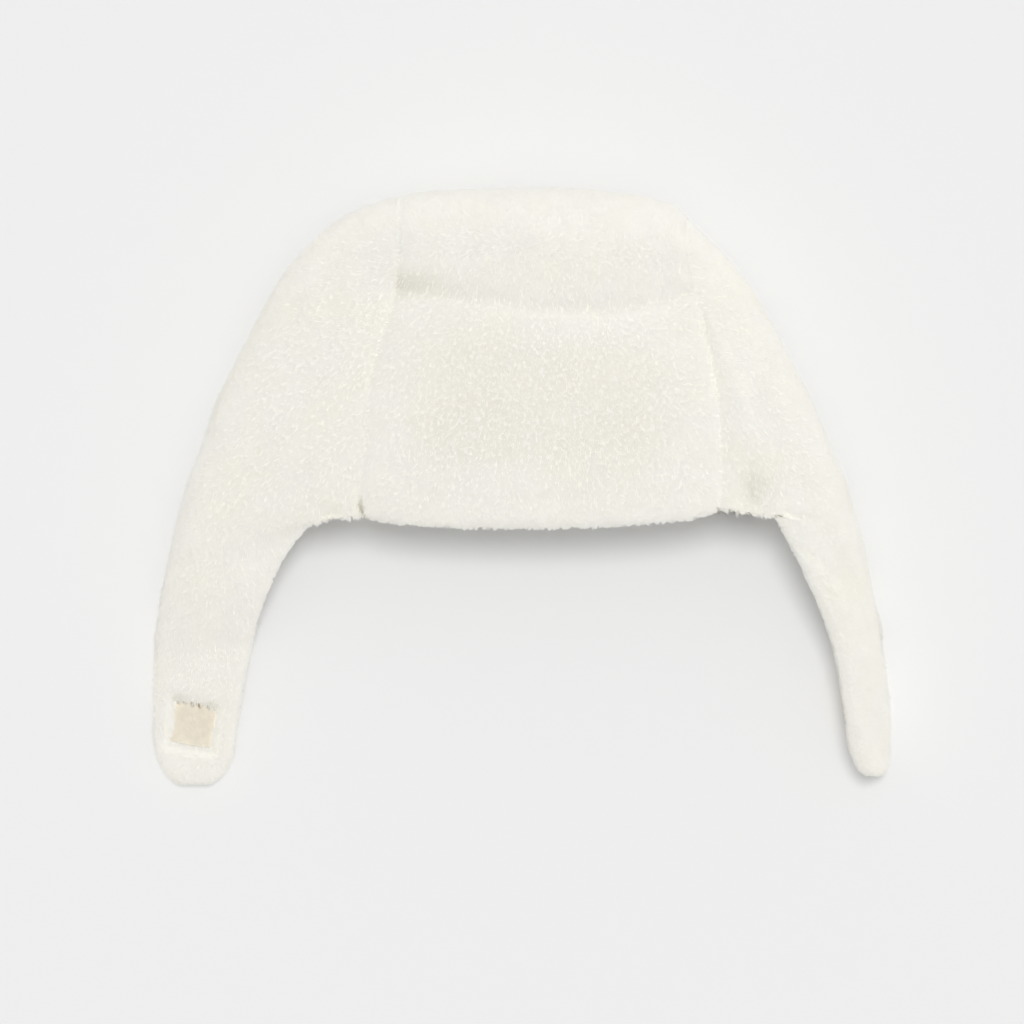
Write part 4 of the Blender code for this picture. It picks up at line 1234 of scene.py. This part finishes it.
def dress_panel(side, node, shell, seed):
    """Adds a panel's wall and its fur above and beneath, in place of the solid."""
    fur, colours, _ = settings()
    skin = material_once("fur_skin", nap_material, colours, *SKIN_NAP)
    lining = material_once("fleece_lining", nap_material, colours, *LINING_NAP)
    strand = material_once("cream_fur", fur_material, colours)
    covered = shell["cover"][shell["quads"]].mean(axis=1)
    inside = shell["on_lining"] & (covered < 0.5)
    shading = {"custom_normal": soft_normal(shell["normal"], 0.0)}
    wall = new_mesh_object(f"{side}_wall", shell["points"], shell["quads"], (skin, lining), inside, shading)
    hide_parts(node)
    pieces = [wall]
    faces_up = ramp(shell["normal"][:, 2], *BACK_STARTS)
    parts = ("front", faces_up, fur.front_density), ("back", 1.0 - faces_up, fur.back_density)
    for number, (part, share, density) in enumerate(parts):
        points, faces, tone = strands(shell, share * shell["cover"], density, fur, seed + number)
        pieces.append(new_mesh_object(f"{side}_fur_{part}", points, faces, (strand,), fields=tone))
    pieces[1].visible_shadow = False  # the light goes through the pile to the wall
    for piece in pieces:
        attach(piece, "root")


class BABYHAT_OT_crown(bpy.types.Operator):
    """Adds the centre panel of the crown, from the brow over the ridge to the nape"""

    bl_idname = "baby_hat.crown"
    bl_label = "Crown panel"

    def execute(self, context):
        dress_panel("crown", "crown_panel", crown_shell(), 11)
        return {"FINISHED"}


class BABYHAT_OT_sides(bpy.types.Operator):
    """Adds the two side panels with their ear flaps"""

    bl_idname = "baby_hat.sides"
    bl_label = "Side panels"

    def execute(self, context):
        left = side_shell(LEFT_SECTIONS, LEFT_DENTS, LEFT_ARCH, FLAP_FANS[0], loop_frame())
        dress_panel("left", "left_side_panel", left, 21)
        right = side_shell(RIGHT_SECTIONS, RIGHT_DENTS, RIGHT_ARCH, FLAP_FANS[1], hook_frame())
        dress_panel("right", "right_side_panel", right, 31)
        return {"FINISHED"}


def add_sun(name, energy, tilt, turn, spread):
    """A sun that stands at tilt from upright, towards turn from the crown round to the right."""
    sun = bpy.data.objects.new(name, bpy.data.lights.new(name, "SUN"))
    sun.data.energy = energy
    sun.data.angle = spread
    toward = Vector((math.sin(tilt) * math.sin(turn), math.sin(tilt) * math.cos(turn), math.cos(tilt)))
    sun.rotation_euler = toward.to_track_quat("Z", "Y").to_euler()
    bpy.context.scene.collection.objects.link(sun)
    return sun


class BABYHAT_OT_fastener(bpy.types.Operator):
    """Adds the soft square on the flat flap and the hooked square inside the other"""

    bl_idname = "baby_hat.fastener"
    bl_label = "Fastener patches"

    def execute(self, context):
        _, colours, _ = settings()
        loops = tape_material("loop_tape", colours.loops, colours.painted_edge_shadow, *LOOP_CLOTH)
        hooks = tape_material("hook_tape", colours.hooks, colours.painted_edge_shadow, *HOOK_CLOTH)
        add_tape("loop_tape", "loop_patch", loop_frame(), loop_wires, loops)
        add_tape("hook_tape", "hook_patch", hook_frame(), hook_wires, hooks)
        return {"FINISHED"}


class BABYHAT_OT_stage(bpy.types.Operator):
    """Adds the plain floor, the soft light and the camera above"""

    bl_idname = "baby_hat.stage"
    bl_label = "Stage"

    def execute(self, context):
        _, colours, stage = settings()
        scene = context.scene
        scene.view_settings.view_transform = "Standard"

        corners = FLOOR_SIDE / 2.0 * np.array(((-1, -1, 0), (1, -1, 0), (1, 1, 0), (-1, 1, 0)))
        paper, tree, shader = blank_material("floor")
        matt = {"Base Color": (*colours.floor, 1.0), "Roughness": 0.9, "Specular IOR Level": 0.0}
        set_inputs(tree, shader, matt)
        floor = new_mesh_object("floor", corners, np.array(((0, 1, 2, 3),)), (paper,))

        world = scene.world or bpy.data.worlds.new("sky")
        scene.world = world
        world.use_nodes = True
        even = {"Color": (1.0, 1.0, 1.0, 1.0), "Strength": stage.sky}
        set_inputs(world.node_tree, world.node_tree.nodes["Background"], even)

        add_sun("key", stage.key, stage.key_tilt, stage.key_turn, stage.key_spread)
        for number, (share, tilt, turn) in enumerate(FILL_LIGHTS):
            way = math.radians(tilt), math.radians(turn)
            fill = add_sun(f"fill_{number}", stage.fill * share, *way, stage.key_spread)
            fill.data.use_shadow = False

        camera = bpy.data.objects.new("camera", bpy.data.cameras.new("camera"))
        lens = camera.data
        lens.sensor_width = 36.0
        lens.lens = lens.sensor_width * (stage.camera_height - stage.view_level) / stage.view_width
        lens.clip_end = 100.0
        camera.location = (*PHOTO_MIDDLE, stage.camera_height)
        scene.collection.objects.link(camera)
        scene.camera = camera
        return {"FINISHED"}


class BABYHAT_PT_panel(bpy.types.Panel):
    """Sizes, colours and pieces of the baby hat"""

    bl_idname = "BABYHAT_PT_panel"
    bl_label = "Baby Hat"
    bl_space_type = "VIEW_3D"
    bl_region_type = "UI"
    bl_category = "Baby Hat"

    def draw(self, context):
        for group in settings():
            box = self.layout.box()
            for name in group.bl_rna.properties.keys():
                if name not in ("rna_type", "name"):
                    box.prop(group, name)
        for operator in (BABYHAT_OT_crown, BABYHAT_OT_sides, BABYHAT_OT_fastener, BABYHAT_OT_stage):
            self.layout.operator(operator.bl_idname)


CLASSES = (
    BabyHatFur, BabyHatColours, BabyHatStage,
    BABYHAT_OT_crown, BABYHAT_OT_sides, BABYHAT_OT_fastener, BABYHAT_OT_stage, BABYHAT_PT_panel,
)


def register():
    """Makes the settings, operators and panel known to Blender."""
    for cls in CLASSES:
        bpy.utils.register_class(cls)
    bpy.types.Scene.baby_hat_fur = bpy.props.PointerProperty(type=BabyHatFur)
    bpy.types.Scene.baby_hat_colours = bpy.props.PointerProperty(type=BabyHatColours)
    bpy.types.Scene.baby_hat_stage = bpy.props.PointerProperty(type=BabyHatStage)


def unregister():
    """Takes them out again."""
    del bpy.types.Scene.baby_hat_fur
    del bpy.types.Scene.baby_hat_colours
    del bpy.types.Scene.baby_hat_stage
    for cls in reversed(CLASSES):
        bpy.utils.unregister_class(cls)


def main():
    """Builds the whole scene."""
    register()
    bpy.ops.baby_hat.stage()
    bpy.ops.baby_hat.crown()
    bpy.ops.baby_hat.sides()
    bpy.ops.baby_hat.fastener()


if __name__ == "__main__":
    main()
